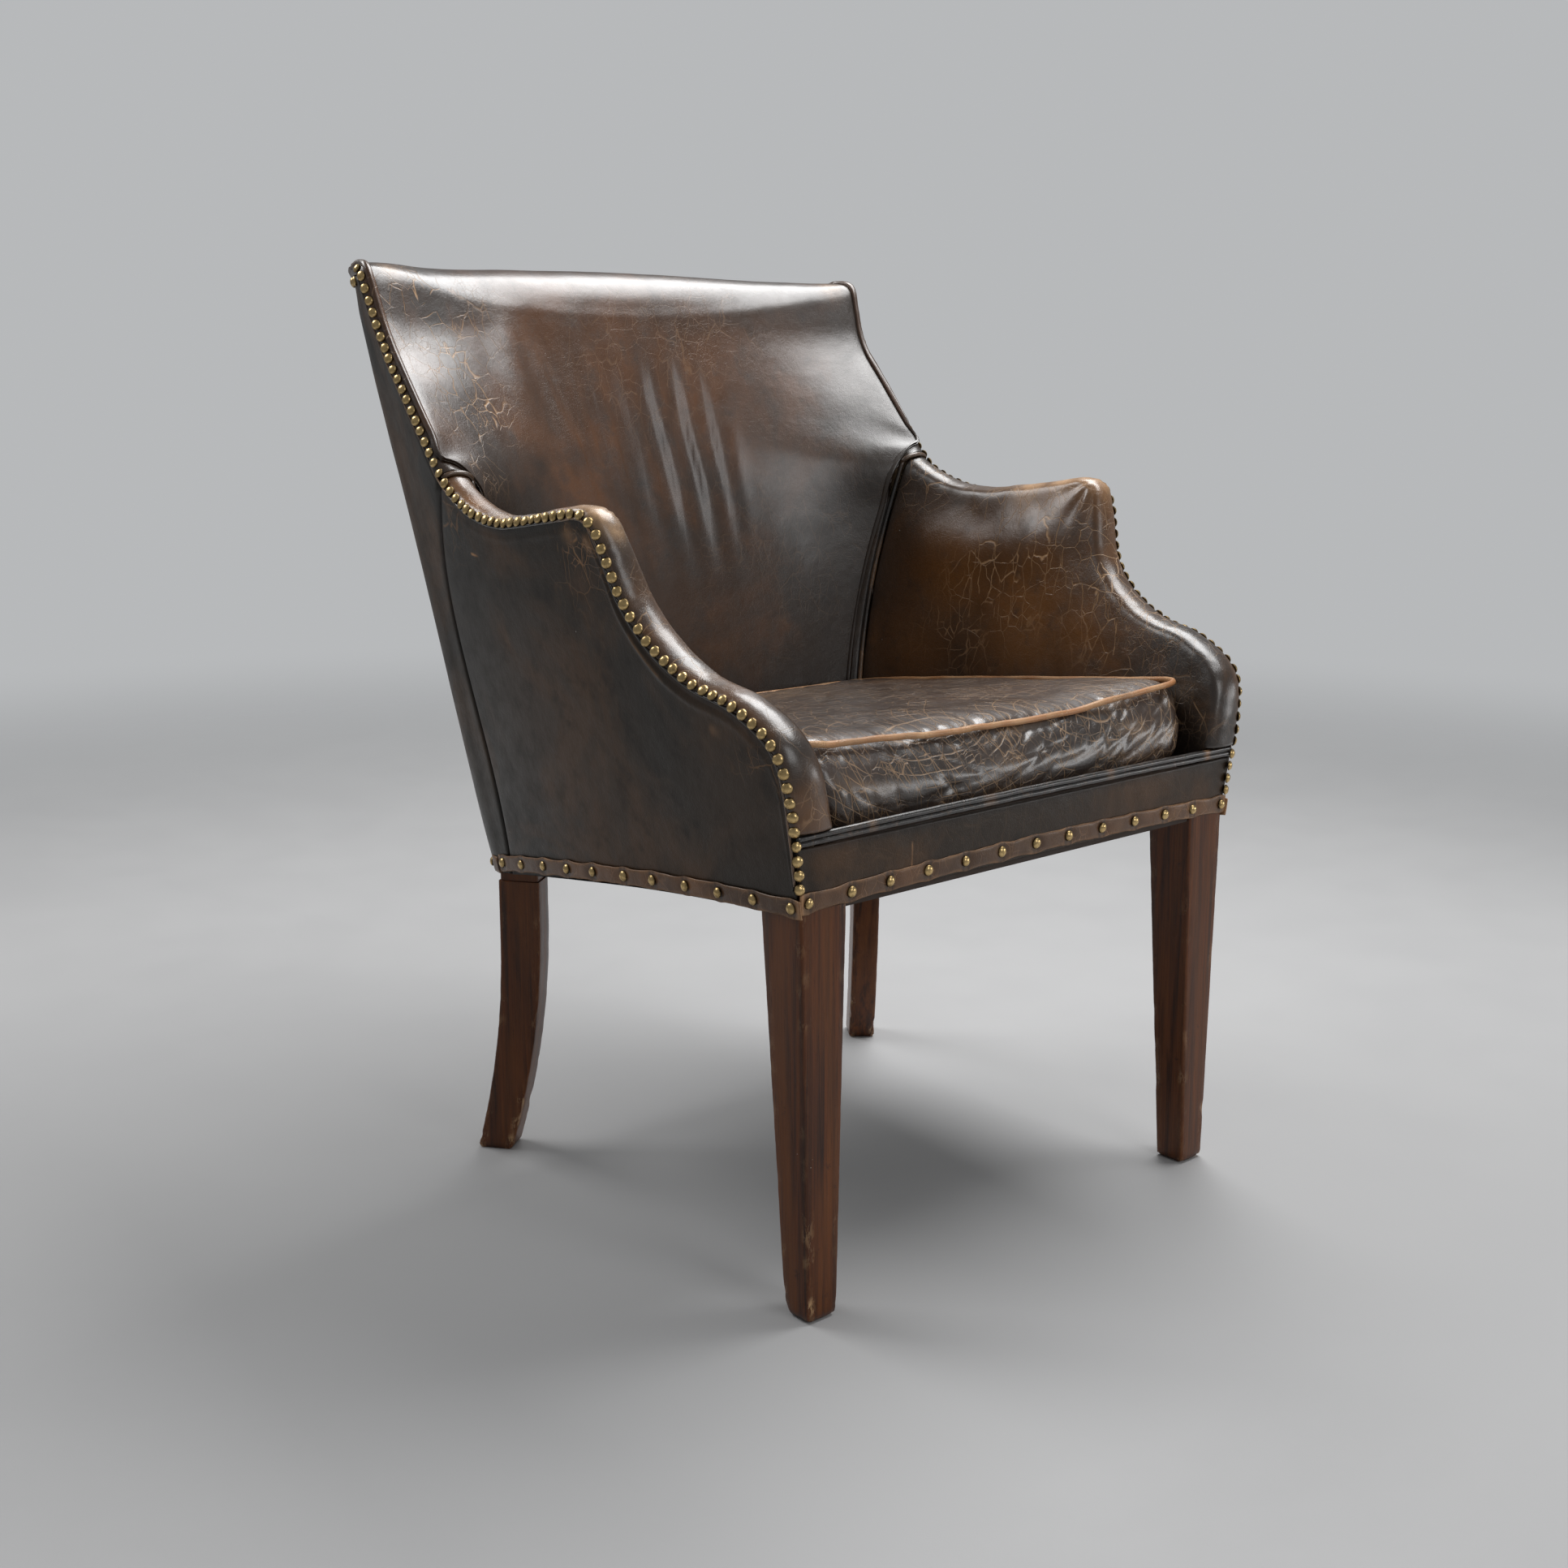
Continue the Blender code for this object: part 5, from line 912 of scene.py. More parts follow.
def make_outside_arm(side, materials):
    """The side panel, turned in a little along its rim and its rear seam."""
    stations = np.concatenate([np.linspace(0, 0.12, 26)[:-1], np.linspace(0.12, SEAM_TOP, 85)])
    rises = 1 - (1 - np.linspace(0, 1, 84)) ** 1.9
    along = (stations / SEAM_TOP)[:, None]
    y_low = blend(0.0, SEAT_INSIDE_DEPTH, along)
    high = (rim_side(stations) - rim_out(stations) * GAP * 3)[:, None, :]
    y = blend(y_low, high[..., 0], rises[None, :]) + seam_bow(rises[None, :]) * along**3 - SEAM_GAP * along
    z = blend(rail_bottom(y_low), high[..., 1], rises[None, :])
    grid = np.stack([side * side_x(y, z), y, z], axis=-1)
    facing = np.array([side * 1.0, 0.0, 0.0])
    seed = 41.0 if side > 0 else 57.0
    belly = np.sin(math.pi * rises)[None, :] * np.sin(math.pi * np.clip(along, 0, 1) ** 0.8)
    push = belly * (0.0010 + 0.0012 * ripple(grid, 0.11, seed) + 0.0005 * ripple(grid, 0.035, seed + 3))
    seam = np.exp(-((1 - along) * SEAM_TOP / 0.0035)) * np.ones_like(push)
    push = push - 0.0016 * seam
    # The panel is drawn in between the nails along its rim, and stands proud in a fold beside them
    away = np.linalg.norm(grid - grid[:, -1:], axis=2)
    rim = np.exp(-((away / 0.005) ** 2))
    push = push + rim * 0.0003 * np.cos(2 * math.pi * stations / NAIL_PITCH)[:, None]
    slope = np.exp(-(((stations - 0.255) / 0.075) ** 2))[:, None]
    line = 0.0125 + 0.0012 * ripple(grid[:, -1:], 0.03, seed + 6)
    fold = np.exp(-(((away - line) / 0.0030) ** 2)) * (0.25 + 0.75 * slope)
    push = push + 0.0012 * fold - 0.0009 * smooth((line - 0.0030 - away) / 0.003) * slope
    grid = grid + normals_of(grid, facing) * push[..., None]
    points, faces = sheet_shape(grid, facing)
    where = grid.reshape(-1, 3)
    warm = spots(where, ((side * 0.300, 0.300, 0.480, 0.11, 0.5), (side * 0.290, 0.06, 0.44, 0.07, 0.45), (side * 0.320, 0.22, 0.60, 0.06, 0.35)))
    wear_and_highlight = spots(where, (
        (side * 0.330, 0.205, 0.640, 0.006, 0.8), (side * 0.328, 0.232, 0.646, 0.008, 0.5), (side * 0.306, 0.448, 0.655, 0.006, 0.9),
        (side * 0.300, 0.075, 0.499, 0.004, 0.5),
    ))
    crack = spots(where, ((side * 0.33, 0.22, 0.63, 0.035, 0.8), (side * 0.30, 0.45, 0.64, 0.03, 0.5), (side * 0.30, 0.02, 0.48, 0.03, 0.4)))
    # A tan line along the fold's ridge, broken by noise: partly rubbed wear and partly a painted highlight.
    wear_and_highlight = np.maximum(wear_and_highlight, (0.55 * fold**3 * smooth(ripple(grid, 0.02, seed + 8) * 2.5 + 0.3)).ravel())
    # Painted shade in the tucked rear seam and in the groove just below the rim; darker too along the foot, under the
    # strip.
    fades = np.exp(-((away / 0.006) ** 2))
    grime_and_shade = np.maximum(0.7 * seam, 0.75 * fades)
    grime_and_shade = np.maximum(grime_and_shade, 0.5 * np.exp(-(rises / 0.03) ** 2)[None, :])
    name = "left" if side > 0 else "right"
    fields = {"crack": doubled(crack), "warm": doubled(warm), "grime_and_shade": doubled(grime_and_shade), "wear_and_highlight": doubled(wear_and_highlight)}
    mesh = solid_mesh("side_leather_" + name, points, faces)
    made = piece("side_leather_" + name, mesh, materials["outside"], ["outside_arm_" + name], fields)
    nailed_sheet(grid, (np.ptp(grid[..., 1]), np.ptp(grid[..., 2])))


def outside_edge(count=34):
    """Side edge of the outside back: the outside seam, then the rim of the wing up to the top corner."""
    low = np.array([SEAT_INSIDE_DEPTH, rail_bottom(SEAT_INSIDE_DEPTH)])
    rises = np.linspace(0, 1, count)[:-1]
    seam = blend(low, rim_side(SEAM_TOP), rises[:, None])
    seam[:, 0] += seam_bow(rises) + SEAM_GAP
    stations = np.linspace(SEAM_TOP, RIM_LENGTH, count)
    wing = rim_side(stations) - rim_out(stations) * GAP * 4
    return np.concatenate([seam, wing])


def make_outside_back(materials):
    edge = outside_edge()
    turns = np.concatenate([np.linspace(0, 0.22, 9)[:-1], np.linspace(0.22, 0.58, 40)[:-1], np.linspace(0.58, 1.0, 36)])
    bottom = blend(rail_bottom(SEAT_INSIDE_DEPTH), rail_bottom(REAR_DEPTH), 1.0)
    high = RIM_TOP - GAP * 5
    rows = []
    for y_edge, z_edge in edge:
        z_mid = blend(bottom, high, (z_edge - edge[0][1]) / (edge[-1][1] - edge[0][1]))
        half = [outside_path(y_edge, blend(z_edge, z_mid, smooth(t / 0.6)), t) for t in turns]
        rows.append(half + [p * (-1, 1, 1) for p in half[-2::-1]])
    grid = np.array(rows)
    across = np.concatenate([turns, (2 - turns)[-2::-1]])[None, :]
    rise = np.linspace(0, 1, len(edge))[:, None]
    facing = np.array([0.0, 1.0, 0.0])
    normals = np.cross(np.gradient(grid, axis=1), np.gradient(grid, axis=0))
    normals /= np.linalg.norm(normals, axis=2, keepdims=True)
    normals *= 1 if normals[len(edge) // 2, len(across[0]) // 2, 1] > 0 else -1
    belly = np.sin(math.pi * across / 2) * np.sin(math.pi * rise)
    push = belly * (0.0012 * ripple(grid, 0.12, 71.0) + 0.0006 * ripple(grid, 0.04, 77.0))
    seam = np.exp(-np.minimum(across, 2 - across) * 0.11 / 0.22 / 0.004) * (rise < 0.5)
    corner = np.exp(-(((np.minimum(across, 2 - across) - 0.42) / 0.17) ** 2))
    push = push - 0.0014 * seam + REAR_BULGE * corner * np.sin(math.pi * rise) ** 0.45 * smooth((1 - rise) / 0.08)
    grid = grid + normals * push[..., None]
    points, faces = sheet_shape(grid, facing)
    where = grid.reshape(-1, 3)
    ones = np.ones(push.shape)
    # Painted shade in the side seams low down, and along the top edge under the nails.
    grime_and_shade = np.maximum(0.6 * seam, 0.6 * np.exp(-(((1 - rise) * 0.58) / 0.008) ** 2)) * ones
    wear_and_highlight = spots(where, ((-0.20, 0.60, 0.55, 0.012, 0.3), (0.296, 0.560, 0.840, 0.008, 0.5), (-0.296, 0.560, 0.840, 0.008, 0.5)))
    crack = spots(where, ((0.0, 0.60, 0.60, 0.16, 0.25), (-0.1, 0.56, 0.35, 0.08, 0.3), (0.15, 0.64, 0.80, 0.07, 0.35)))
    warm = spots(where, ((0.10, 0.60, 0.60, 0.14, 0.5), (-0.14, 0.58, 0.45, 0.12, 0.4)))
    fields = {"crack": doubled(crack), "warm": doubled(warm), "grime_and_shade": doubled(grime_and_shade), "wear_and_highlight": doubled(wear_and_highlight)}
    mesh = solid_mesh("rear_leather", points, faces)
    made = piece("rear_leather", mesh, materials["outside"], ["outside_back"], fields)
    nailed_sheet(grid)


def make_lip(side, materials):
    """The turned edge of the outside leather, which shows as a thin line beside the nails."""
    stations = np.linspace(0.003, RIM_LENGTH - 0.002, 340)
    path = wall_point(stations, -0.0002, -0.0012)
    path[:, 0] += 0.0003 * ripple(path, 0.02, 5.0)
    radius = 0.00115 * (1 + 0.18 * ripple(path, 0.009, 2.0))
    points, faces = tube_shape(path * (side, 1, 1), radius, 8)
    rub = spots(path * (side, 1, 1), (
        (side * 0.31, 0.53, 0.765, 0.08, 0.30), (side * 0.33, 0.215, 0.66, 0.03, 0.7), (side * 0.31, 0.45, 0.675, 0.02, 0.8),
        (side * 0.28, 0.0, 0.42, 0.05, 0.45),
    ))
    name = "left" if side > 0 else "right"
    fields = {"wear_and_highlight": np.repeat(rub, 8), "crack": np.repeat(rub, 8)}
    piece("edge_lip_" + name, solid_mesh("edge_lip_" + name, points, faces), materials["black"], (), fields)


def make_welt(side, materials):
    """Piping in the seam between inside arm and inside back."""
    v = np.linspace(0.985, 0.06, 160)
    path = arm_inside_point(SEAM_TOP, v) + np.array([-0.0012, -0.0011, 0.0])
    radius = WELT_RADIUS * (1.12 + 0.10 * ripple(path, 0.012, 3.0))
    points, faces = tube_shape(path * (side, 1, 1), radius, 10)
    where = path * (side, 1, 1)
    wear_and_highlight = spots(where, ((side * 0.242, 0.450, 0.44, 0.035, 0.6), (side * 0.262, 0.465, 0.56, 0.03, 0.3), (side * 0.300, 0.457, 0.678, 0.02, 0.3)))
    name = "left" if side > 0 else "right"
    fields = {"wear_and_highlight": np.repeat(wear_and_highlight, 10), "crack": np.repeat(wear_and_highlight, 10)}
    piece("seam_piping_" + name, solid_mesh("seam_piping_" + name, points, faces), materials["black"], ["seam_welt_" + name], fields)


# Nails


def nail_shape(places, outwards, alongs, seed, radius=NAIL_RADIUS, dome=NAIL_DOME):
    """Dome-headed nails, each a little different, as one mesh."""
    random = np.random.default_rng(seed)
    sides = 16
    profile = np.array([(0.10, -0.45), (1.0, -0.05), (1.0, 0.06), (0.93, 0.30), (0.78, 0.60), (0.56, 0.83), (0.30, 0.96), (0.0, 1.0)])
    angles = np.linspace(0, 2 * math.pi, sides, endpoint=False)
    points, faces, rims = [], [], []
    for place, out, along in zip(places, outwards, alongs):
        out = out + random.normal(0, 0.045, 3)
        out = out / np.linalg.norm(out)
        across = np.cross(out, along)
        across /= np.linalg.norm(across)
        along = np.cross(across, out)
        size = radius * random.normal(1.0, 0.022)
        start = len(points)
        centre = place + random.normal(0, 0.00022, 3)
        flat = random.uniform(0.86, 1.06)
        for share, height in profile[:-1]:
            ring = size * share
            for angle in angles:
                side = ring * (math.cos(angle) * along + math.sin(angle) * across)
                points.append(centre + side + out * height * dome * flat)
                rims.append(1.0 if height < 0.1 else max(0.0, 0.85 - height * 1.5))
        points.append(centre + out * dome * flat)
        rims.append(0.0)
        levels = len(profile) - 1
        for i in range(levels - 1):
            for j in range(sides):
                k = (j + 1) % sides
                a, b = start + i * sides, start + (i + 1) * sides
                faces.append((a + j, a + k, b + k, b + j))
        top, last = start + levels * sides, start + (levels - 1) * sides
        faces += [(last + j, last + (j + 1) % sides, top) for j in range(sides)]
        faces.append(tuple(start + j for j in range(sides)))
    return points, faces, rims


def nail_piece(name, path, outwards, materials, seed, replaced=(), pitch=NAIL_PITCH, radius=NAIL_RADIUS):
    """Nails at equal steps along a path, whose outward directions are given at the same points."""
    both = evenly(np.concatenate([path, outwards], axis=1), pitch / 2)[1::2]
    places, outs = both[:, :3], both[:, 3:]
    alongs = np.gradient(places, axis=0)
    points, faces, rims = nail_shape(places, outs, alongs, seed, radius)
    piece(name, solid_mesh(name, points, faces), materials["brass"], replaced, {"grime_and_shade": rims})
    return places


def make_nails(side, back, arms, materials):
    """Up the front of the arm, along it, up the wing and over the top corner."""
    grid, marks, ends, wing = back
    foot = wall_point(np.linspace(0.004, ARM_START, 12)[:-1], 0.0, 0.0) * (side, 1, 1)
    foot = np.concatenate([foot[:1] - (0.0, 0.0, 0.0095), foot])
    arm = arms[side]
    column = np.argmin(np.abs(np.abs(marks) * np.sign(marks) - side * 1.72))
    rows = ends >= wing + 0.25
    rows &= ends <= WING_TOP_ROW
    wing_path = grid[rows, column]
    wing_out = normals_of(grid, (0.0, -1.0, 0.3))[rows, column]
    arm_out = normals_of(arm, (-side * 1.0, -0.2, 0.5))[:, 3]
    lean = np.array([side * 0.30, -0.95, 0.0])
    first = arm[0, 3]
    foot = foot + (first - arm_inside_point(ARM_START, 0.0) * (side, 1, 1))
    path = np.concatenate([foot, arm[:, 3], wing_path])
    outs = np.concatenate([np.tile(lean, (len(foot), 1)), arm_out, wing_out])
    window = 9
    kernel = np.ones(window) / window
    padded_path = np.pad(path, ((window // 2, window // 2), (0, 0)), mode="edge")
    smoothed = np.stack([np.convolve(padded_path[:, k], kernel, "valid") for k in range(3)], axis=-1)
    smoothed[:4], smoothed[-4:] = path[:4], path[-4:]
    outs = outs / np.linalg.norm(outs, axis=1, keepdims=True)
    name = "left" if side > 0 else "right"
    nail_piece("rim_nails_" + name, smoothed + outs * 0.0003, outs, materials, 101 if side > 0 else 102, ["nail_trim_" + name])


def make_rear_nails(materials):
    z = RIM_TOP - 0.0062
    turns = np.linspace(0.13, 1.0, 240)
    half = np.array([outside_path(RIM[-1][0], z, t) for t in turns])
    whole = np.concatenate([half, mirrored(half[-2::-1])])
    outs = np.cross(np.gradient(whole, axis=0), (0.0, 0.25, 1.0))
    outs /= np.linalg.norm(outs, axis=1, keepdims=True)
    outs *= np.sign((outs * (0.0, 1.0, 0.0)).sum())
    nail_piece("rear_nails", whole + outs * 0.0004, outs, materials, 103, ["nail_trim_rear"])


# Lower edge, front rail and cushion


def band_piece(name, lower, upper, outward, count, ends, replaced, held_by, materials, seed):
    """A thin strip that bows out between its nails, with rubbed wavy edges, and the nails in it."""
    lengths = np.concatenate([[0.0], np.cumsum(np.linalg.norm(np.diff(lower, axis=0), axis=1))])
    random = np.random.default_rng(int(seed))
    spots_at = np.linspace(ends[0], lengths[-1] - ends[1], count)
    spots_at[1:-1] += random.uniform(-0.0022, 0.0022, count - 2)
    marks = np.linspace(0, lengths[-1], max(int(lengths[-1] / 0.0022), 10))

    def read(curve):
        return np.stack([np.interp(marks, lengths, curve[:, k]) for k in range(3)], axis=-1)

    low, high, out = read(lower), read(upper), read(outward)
    out /= np.linalg.norm(out, axis=1, keepdims=True)
    near = np.exp(-((np.abs(marks[:, None] - spots_at[None, :]).min(axis=1)) / 0.008) ** 2)
    shares = np.linspace(0, 1, 11)
    grid = blend(low[:, None, :], high[:, None, :], shares[None, :, None])
    wave_low = 0.0009 * ripple(low, 0.016, seed) - 0.0012 * near
    wave_high = 0.0009 * ripple(low, 0.018, seed + 9) + 0.0010 * near
    up = (high - low) / np.linalg.norm(high - low, axis=1, keepdims=True)
    grid += up[:, None, :] * (wave_low[:, None] * (1 - shares) + wave_high[:, None] * shares)[..., None]
    middle = np.sin(math.pi * shares)[None, :]
    rise = 0.0012 + 0.0009 * (1 - near)[:, None] * middle**0.5 - 0.0009 * near[:, None] * middle + 0.0003 * ripple(grid, 0.010, seed)
    grid += out[:, None, :] * rise[..., None]
    points, faces = sheet_shape(grid, out[len(out) // 2], 0.0011)
    edge = np.maximum(np.exp(-(shares / 0.09) ** 2), np.exp(-((1 - shares) / 0.09) ** 2))[None, :]
    tips = np.exp(-((marks / 0.006) ** 2)) + np.exp(-(((lengths[-1] - marks) / 0.006) ** 2))
    wear_and_highlight = 1.1 * tips[:, None] + edge * (0.55 + 0.45 * ripple(grid, 0.014, seed + 3)) + 0.30 * np.maximum(ripple(grid, 0.020, seed + 5), 0)
    # Darker in a narrow band each side of every nail, where the strip is drawn in.
    grime_and_shade = 0.75 * np.exp(-((near[:, None] - 0.86) / 0.12) ** 2) * np.ones_like(wear_and_highlight)
    fields = {"wear_and_highlight": doubled(np.clip(wear_and_highlight, 0, 1)), "crack": doubled(np.full(wear_and_highlight.shape, 0.35)), "grime_and_shade": doubled(grime_and_shade)}
    made = piece(name, solid_mesh(name, points, faces), materials["band"], replaced, fields)
    nailed_sheet(grid)
    places = np.stack([np.interp(spots_at, lengths, ((lower + upper) / 2)[:, k]) for k in range(3)], axis=-1)
    outs = np.stack([np.interp(spots_at, lengths, outward[:, k]) for k in range(3)], axis=-1)
    outs /= np.linalg.norm(outs, axis=1, keepdims=True)
    places += outs * 0.0013
    points, faces, rims = nail_shape(places, outs, np.gradient(places, axis=0), int(seed))
    piece(name + "_nails", solid_mesh(name + "_nails", points, faces), materials["brass"], (), {"grime_and_shade": rims})


def make_bands(materials):
    half = float(side_x(0.0, RAIL_HEIGHT)) + 0.0022
    xs = np.linspace(-half, half, 60)
    heights = RAIL_HEIGHT + 0.0040 + 0.005 * (1 - (xs / half) ** 2)
    lower = np.array([(x, -LEATHER - 3 * GAP, z) for x, z in zip(xs, heights)])
    outward = np.tile((0.0, -1.0, 0.0), (len(xs), 1))
    shape = (lower, lower + (0.0, 0.0, BAND_HEIGHT), outward)
    band_piece("front_strip", *shape, 13, (0.0085, 0.0065), ["front_band"], ["front_leather"], materials, 201.0)
    edges = []
    for rise in (0.0, BAND_HEIGHT):
        path = []
        for y in np.linspace(-0.0060, SEAT_INSIDE_DEPTH, 50):
            z = rail_bottom(y) + rise
            path.append((side_x(y, z), y, z))
        for turn in np.linspace(0.0, 1.0, 80)[1:]:
            z = blend(rail_bottom(SEAT_INSIDE_DEPTH), rail_bottom(REAR_DEPTH), smooth(turn / 0.6)) + rise
            x, y, z = outside_path(SEAT_INSIDE_DEPTH, z, turn)
            path.append((max(x, GAP), y, z))
        edges.append(np.array(path))
    lower, upper = edges
    outward = np.cross(np.gradient(lower, axis=0), (0.0, 0.0, 1.0))
    outward /= np.linalg.norm(outward, axis=1, keepdims=True)
    lift = outward * 3 * GAP
    for side, name in ((1, "left"), (-1, "right")):
        turn = (side, 1, 1)
        shape = ((lower + lift) * turn, (upper + lift) * turn, outward * turn)
        held_by = ["side_leather_" + name, "rear_leather"]
        band_piece("side_strip_" + name, *shape, 17, (0.0115, 0.022), ["side_band_" + name], held_by, materials, 211.0 + side)


def make_dust_cloth(materials):
    """Thin black cloth nailed up under the rails, which hangs a little in the middle."""
    low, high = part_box("dust_cloth")
    depths, across = np.linspace(low.y - SHIFT, high.y - SHIFT, 60), np.linspace(-1, 1, 80)
    half = side_x(depths, RAIL_HEIGHT) - LEATHER - 0.004
    y = depths[:, None] * np.ones((1, len(across)))
    z = rail_bottom(y) - WEB_THICKNESS - GAP - DUST_CLOTH_THICKNESS
    grid = np.stack([half[:, None] * across[None, :], y, z], axis=-1)
    slack = np.sin(math.pi * np.linspace(0, 1, len(depths)))[:, None] * (1 - across**2)[None, :]
    grid[..., 2] -= DUST_CLOTH_SAG * slack + 0.0006 * (1 + ripple(grid, 0.05, 93.0)) * smooth(slack * 4)
    points, faces = sheet_shape(grid, np.array([0.0, 0.0, -1.0]), DUST_CLOTH_THICKNESS)
    made = piece("dust_cloth_sheet", solid_mesh("dust_cloth_sheet", points, faces), materials["cloth"], ["dust_cloth"])
    nailed_sheet(grid)


def make_front(materials):
    """The leather on the front rail, and the two welts along its top."""
    half = float(side_x(0.0, RAIL_HEIGHT)) - LEATHER
    xs, zs = np.linspace(-1, 1, 150), np.linspace(RAIL_HEIGHT + 0.006, DECK_HEIGHT - 0.0008, 24)
    x, z = np.meshgrid(xs, zs, indexing="ij")
    x = x * (side_x(0.0, z) - LEATHER - GAP)
    grid = np.stack([x, np.full(x.shape, -GAP - LEATHER), z], axis=-1)
    rise = (z - zs[0]) / (zs[-1] - zs[0])
    push = 0.0005 * ripple(grid, 0.05, 88.0) + 0.0003 * ripple(grid, 0.018, 89.0) + 0.0012 * np.sin(math.pi * rise)
    push += -0.0004 * np.exp(-(((x + 0.1535) / 0.0012) ** 2))
    grid[..., 1] -= push * smooth((half - np.abs(x)) / 0.02)
    points, faces = sheet_shape(grid, np.array([0.0, -1.0, 0.0]))
    crack = np.full(x.shape, 0.05)
    # Painted shade at the top of the front leather, just under the welts.
    grime_and_shade = 0.7 * np.exp(-(((1 - rise) / 0.10) ** 2))
    fields = {"crack": doubled(crack), "grime_and_shade": doubled(grime_and_shade), "warm": doubled(np.full(x.shape, 0.25))}
    mesh = solid_mesh("front_leather", points, faces)
    made = piece("front_leather", mesh, materials["outside"], ["front_cover"], fields)
    nailed_sheet(grid)
    radius = 0.0027
    span = float(side_x(0.0, DECK_HEIGHT)) - LEATHER - GAP
    run = np.linspace(-span, span, 190)
    for k, (shift, name) in enumerate(((-0.93, "lower"), (0.93, "upper"))):
        path = np.stack([run, np.full(run.shape, -LEATHER - GAP), np.full(run.shape, 0.0)], axis=-1)
        path[:, 2] = DECK_HEIGHT + 2 * radius + 0.0015 * (1 - (run / span) ** 2) + shift * radius
        path[:, 2] += 0.0004 * ripple(path, 0.030, 31.0 + k)
        path[:, 1] += 0.0004 * ripple(path, 0.022, 35.0 + k)
        width = radius * (1.0 + 0.06 * ripple(path, 0.010, 37.0 + k))
        points, faces = tube_shape(path, width, 12, guide=(0.0, 0.0, 1.0))
        wear_and_highlight = spots(path, ((0.245, -0.003, 0.419, 0.004, 1.0), (-0.06, -0.003, 0.419, 0.006, 0.5), (0.10, -0.003, 0.42, 0.005, 0.4), (-0.2, -0.003, 0.42, 0.004, 0.4)))
        fields = {"wear_and_highlight": np.repeat(wear_and_highlight, 12), "crack": np.full(len(points), 0.12)}
        replaced = ["front_double_piping"] if k == 0 else ()
        piece("front_welt_" + name, solid_mesh("front_welt_" + name, points, faces), materials["black"], replaced, fields)


def cushion_outline(lean, inset, height, fineness=1):
    """Plan outline of the cushion: it fits between the arms, with round corners."""
    front, rear = CUSHION_FRONT + lean + inset, CUSHION_REAR - inset

    def half_width(y):
        z = blend(deck(y), CUSHION_HEIGHT - SEAT_SLOPE * y, height)
        return side_x(y, z) - wall(z) - 0.0012 - inset

    half = []
    for radius, edge, turn in ((0.024, front, -1), (0.045, rear, 1)):
        centre_y = edge - turn * radius
        centre_x = half_width(centre_y) - radius
        run = [(centre_x * share, edge) for share in np.linspace(0.06, 0.94, 8 * fineness)]
        for angle in np.radians(np.linspace(90, 0, 4 + 3 * fineness)):
            run.append((centre_x + radius * math.cos(angle), centre_y + turn * radius * math.sin(angle)))
        half += run if turn < 0 else run[::-1]
        if turn < 0:
            for share in np.linspace(0, 1, 8 * fineness + 2)[1:-1]:
                y = blend(centre_y, rear - 0.045, share)
                half.append((half_width(y), y))
    return np.array(half + [(-x, y) for x, y in half[::-1]])


def cushion_top(x, y):
    across = np.minimum(np.abs(x) / SEAT_HALF_WIDTH, 1.0)
    sag = 0.0135 * (1 - (across / 0.84) ** 2) * np.exp(-np.maximum(y, 0) / 0.09)
    crown = 0.006 * (1 - across**2) * np.sin(math.pi * np.clip(y / CUSHION_REAR, 0.0, 1.0))
    return CUSHION_HEIGHT - SEAT_SLOPE * y - sag + crown


def cushion_blank():
    """The cushion before it is filled: a little smaller than it will be."""
    centre = np.array([0.0, (CUSHION_FRONT + CUSHION_REAR) / 2])
    base = 0.0012
    rings = []

    def ring(outline, heights):
        rings.append(np.column_stack([outline, heights]))

    for shrink in (0.10, 0.45, 0.85):
        outline = (cushion_outline(0.0, 0.014, 0.0) - centre) * shrink + centre
        ring(outline, deck(outline[:, 1]) + base)
    sides = ((0.0, 0.008, 0.0), (0.0, 0.004, 0.16), (0.002, 0.003, 0.45), (0.010, 0.004, 0.75), (0.019, 0.006, 0.93))
    for lean, inset, height in sides:
        outline = cushion_outline(lean, inset, height)
        low, high = deck(outline[:, 1]) + base, cushion_top(*outline.T) - 0.004
        ring(outline, blend(low, high, height))
    outline = cushion_outline(0.022, 0.010, 0.95)
    ring(outline, cushion_top(*outline.T) - 0.0015)
    for shrink in (0.94, 0.82, 0.58, 0.30, 0.08):
        inner = (outline - centre) * shrink + centre
        ring(inner, cushion_top(*inner.T) - 0.002)
    return loft_shape(np.array(rings))


def simulate_cushion():
    """Fills the cushion by pressure, from a remeshed copy of its blank."""
    points, faces = cushion_blank()
    mesh = solid_mesh("cushion_blank", points, faces)
    made = bpy.data.objects.new("cushion_blank", mesh)
    bpy.context.scene.collection.objects.link(made)
    remesh = made.modifiers.new("remesh", "REMESH")
    remesh.mode = "VOXEL"
    remesh.voxel_size = 0.006
    apply_modifiers(made)
    before = vertex_array(made.data)
    cloth = made.modifiers.new("cloth", "CLOTH")
    cloth.settings.quality = 5
    cloth.settings.mass = 0.3
    cloth.settings.tension_stiffness = 30.0
    cloth.settings.compression_stiffness = 18.0
    cloth.settings.bending_stiffness = 3.0
    cloth.settings.use_pressure = True
    cloth.settings.uniform_pressure_force = 4.0
    cloth.settings.effector_weights.gravity = 0.0
    cloth.collision_settings.use_collision = False
    scene = bpy.context.scene
    for step in range(1, 21):
        scene.frame_set(step)
    apply_modifiers(made)
    scene.frame_set(1)
    after = vertex_array(made.data)
    move = after - before
    length = np.linalg.norm(move, axis=1, keepdims=True)
    cap = 0.0055
    move *= np.minimum(1.0, cap / np.maximum(length, 1e-9))
    after = before + move
    made.data.vertices.foreach_set("co", after.astype(np.float32).ravel())
    subdivide = made.modifiers.new("subdivide", "SUBSURF")
    subdivide.levels = subdivide.render_levels = 1
    apply_modifiers(made)
    mesh = made.data
    bpy.data.objects.remove(made)
    return mesh


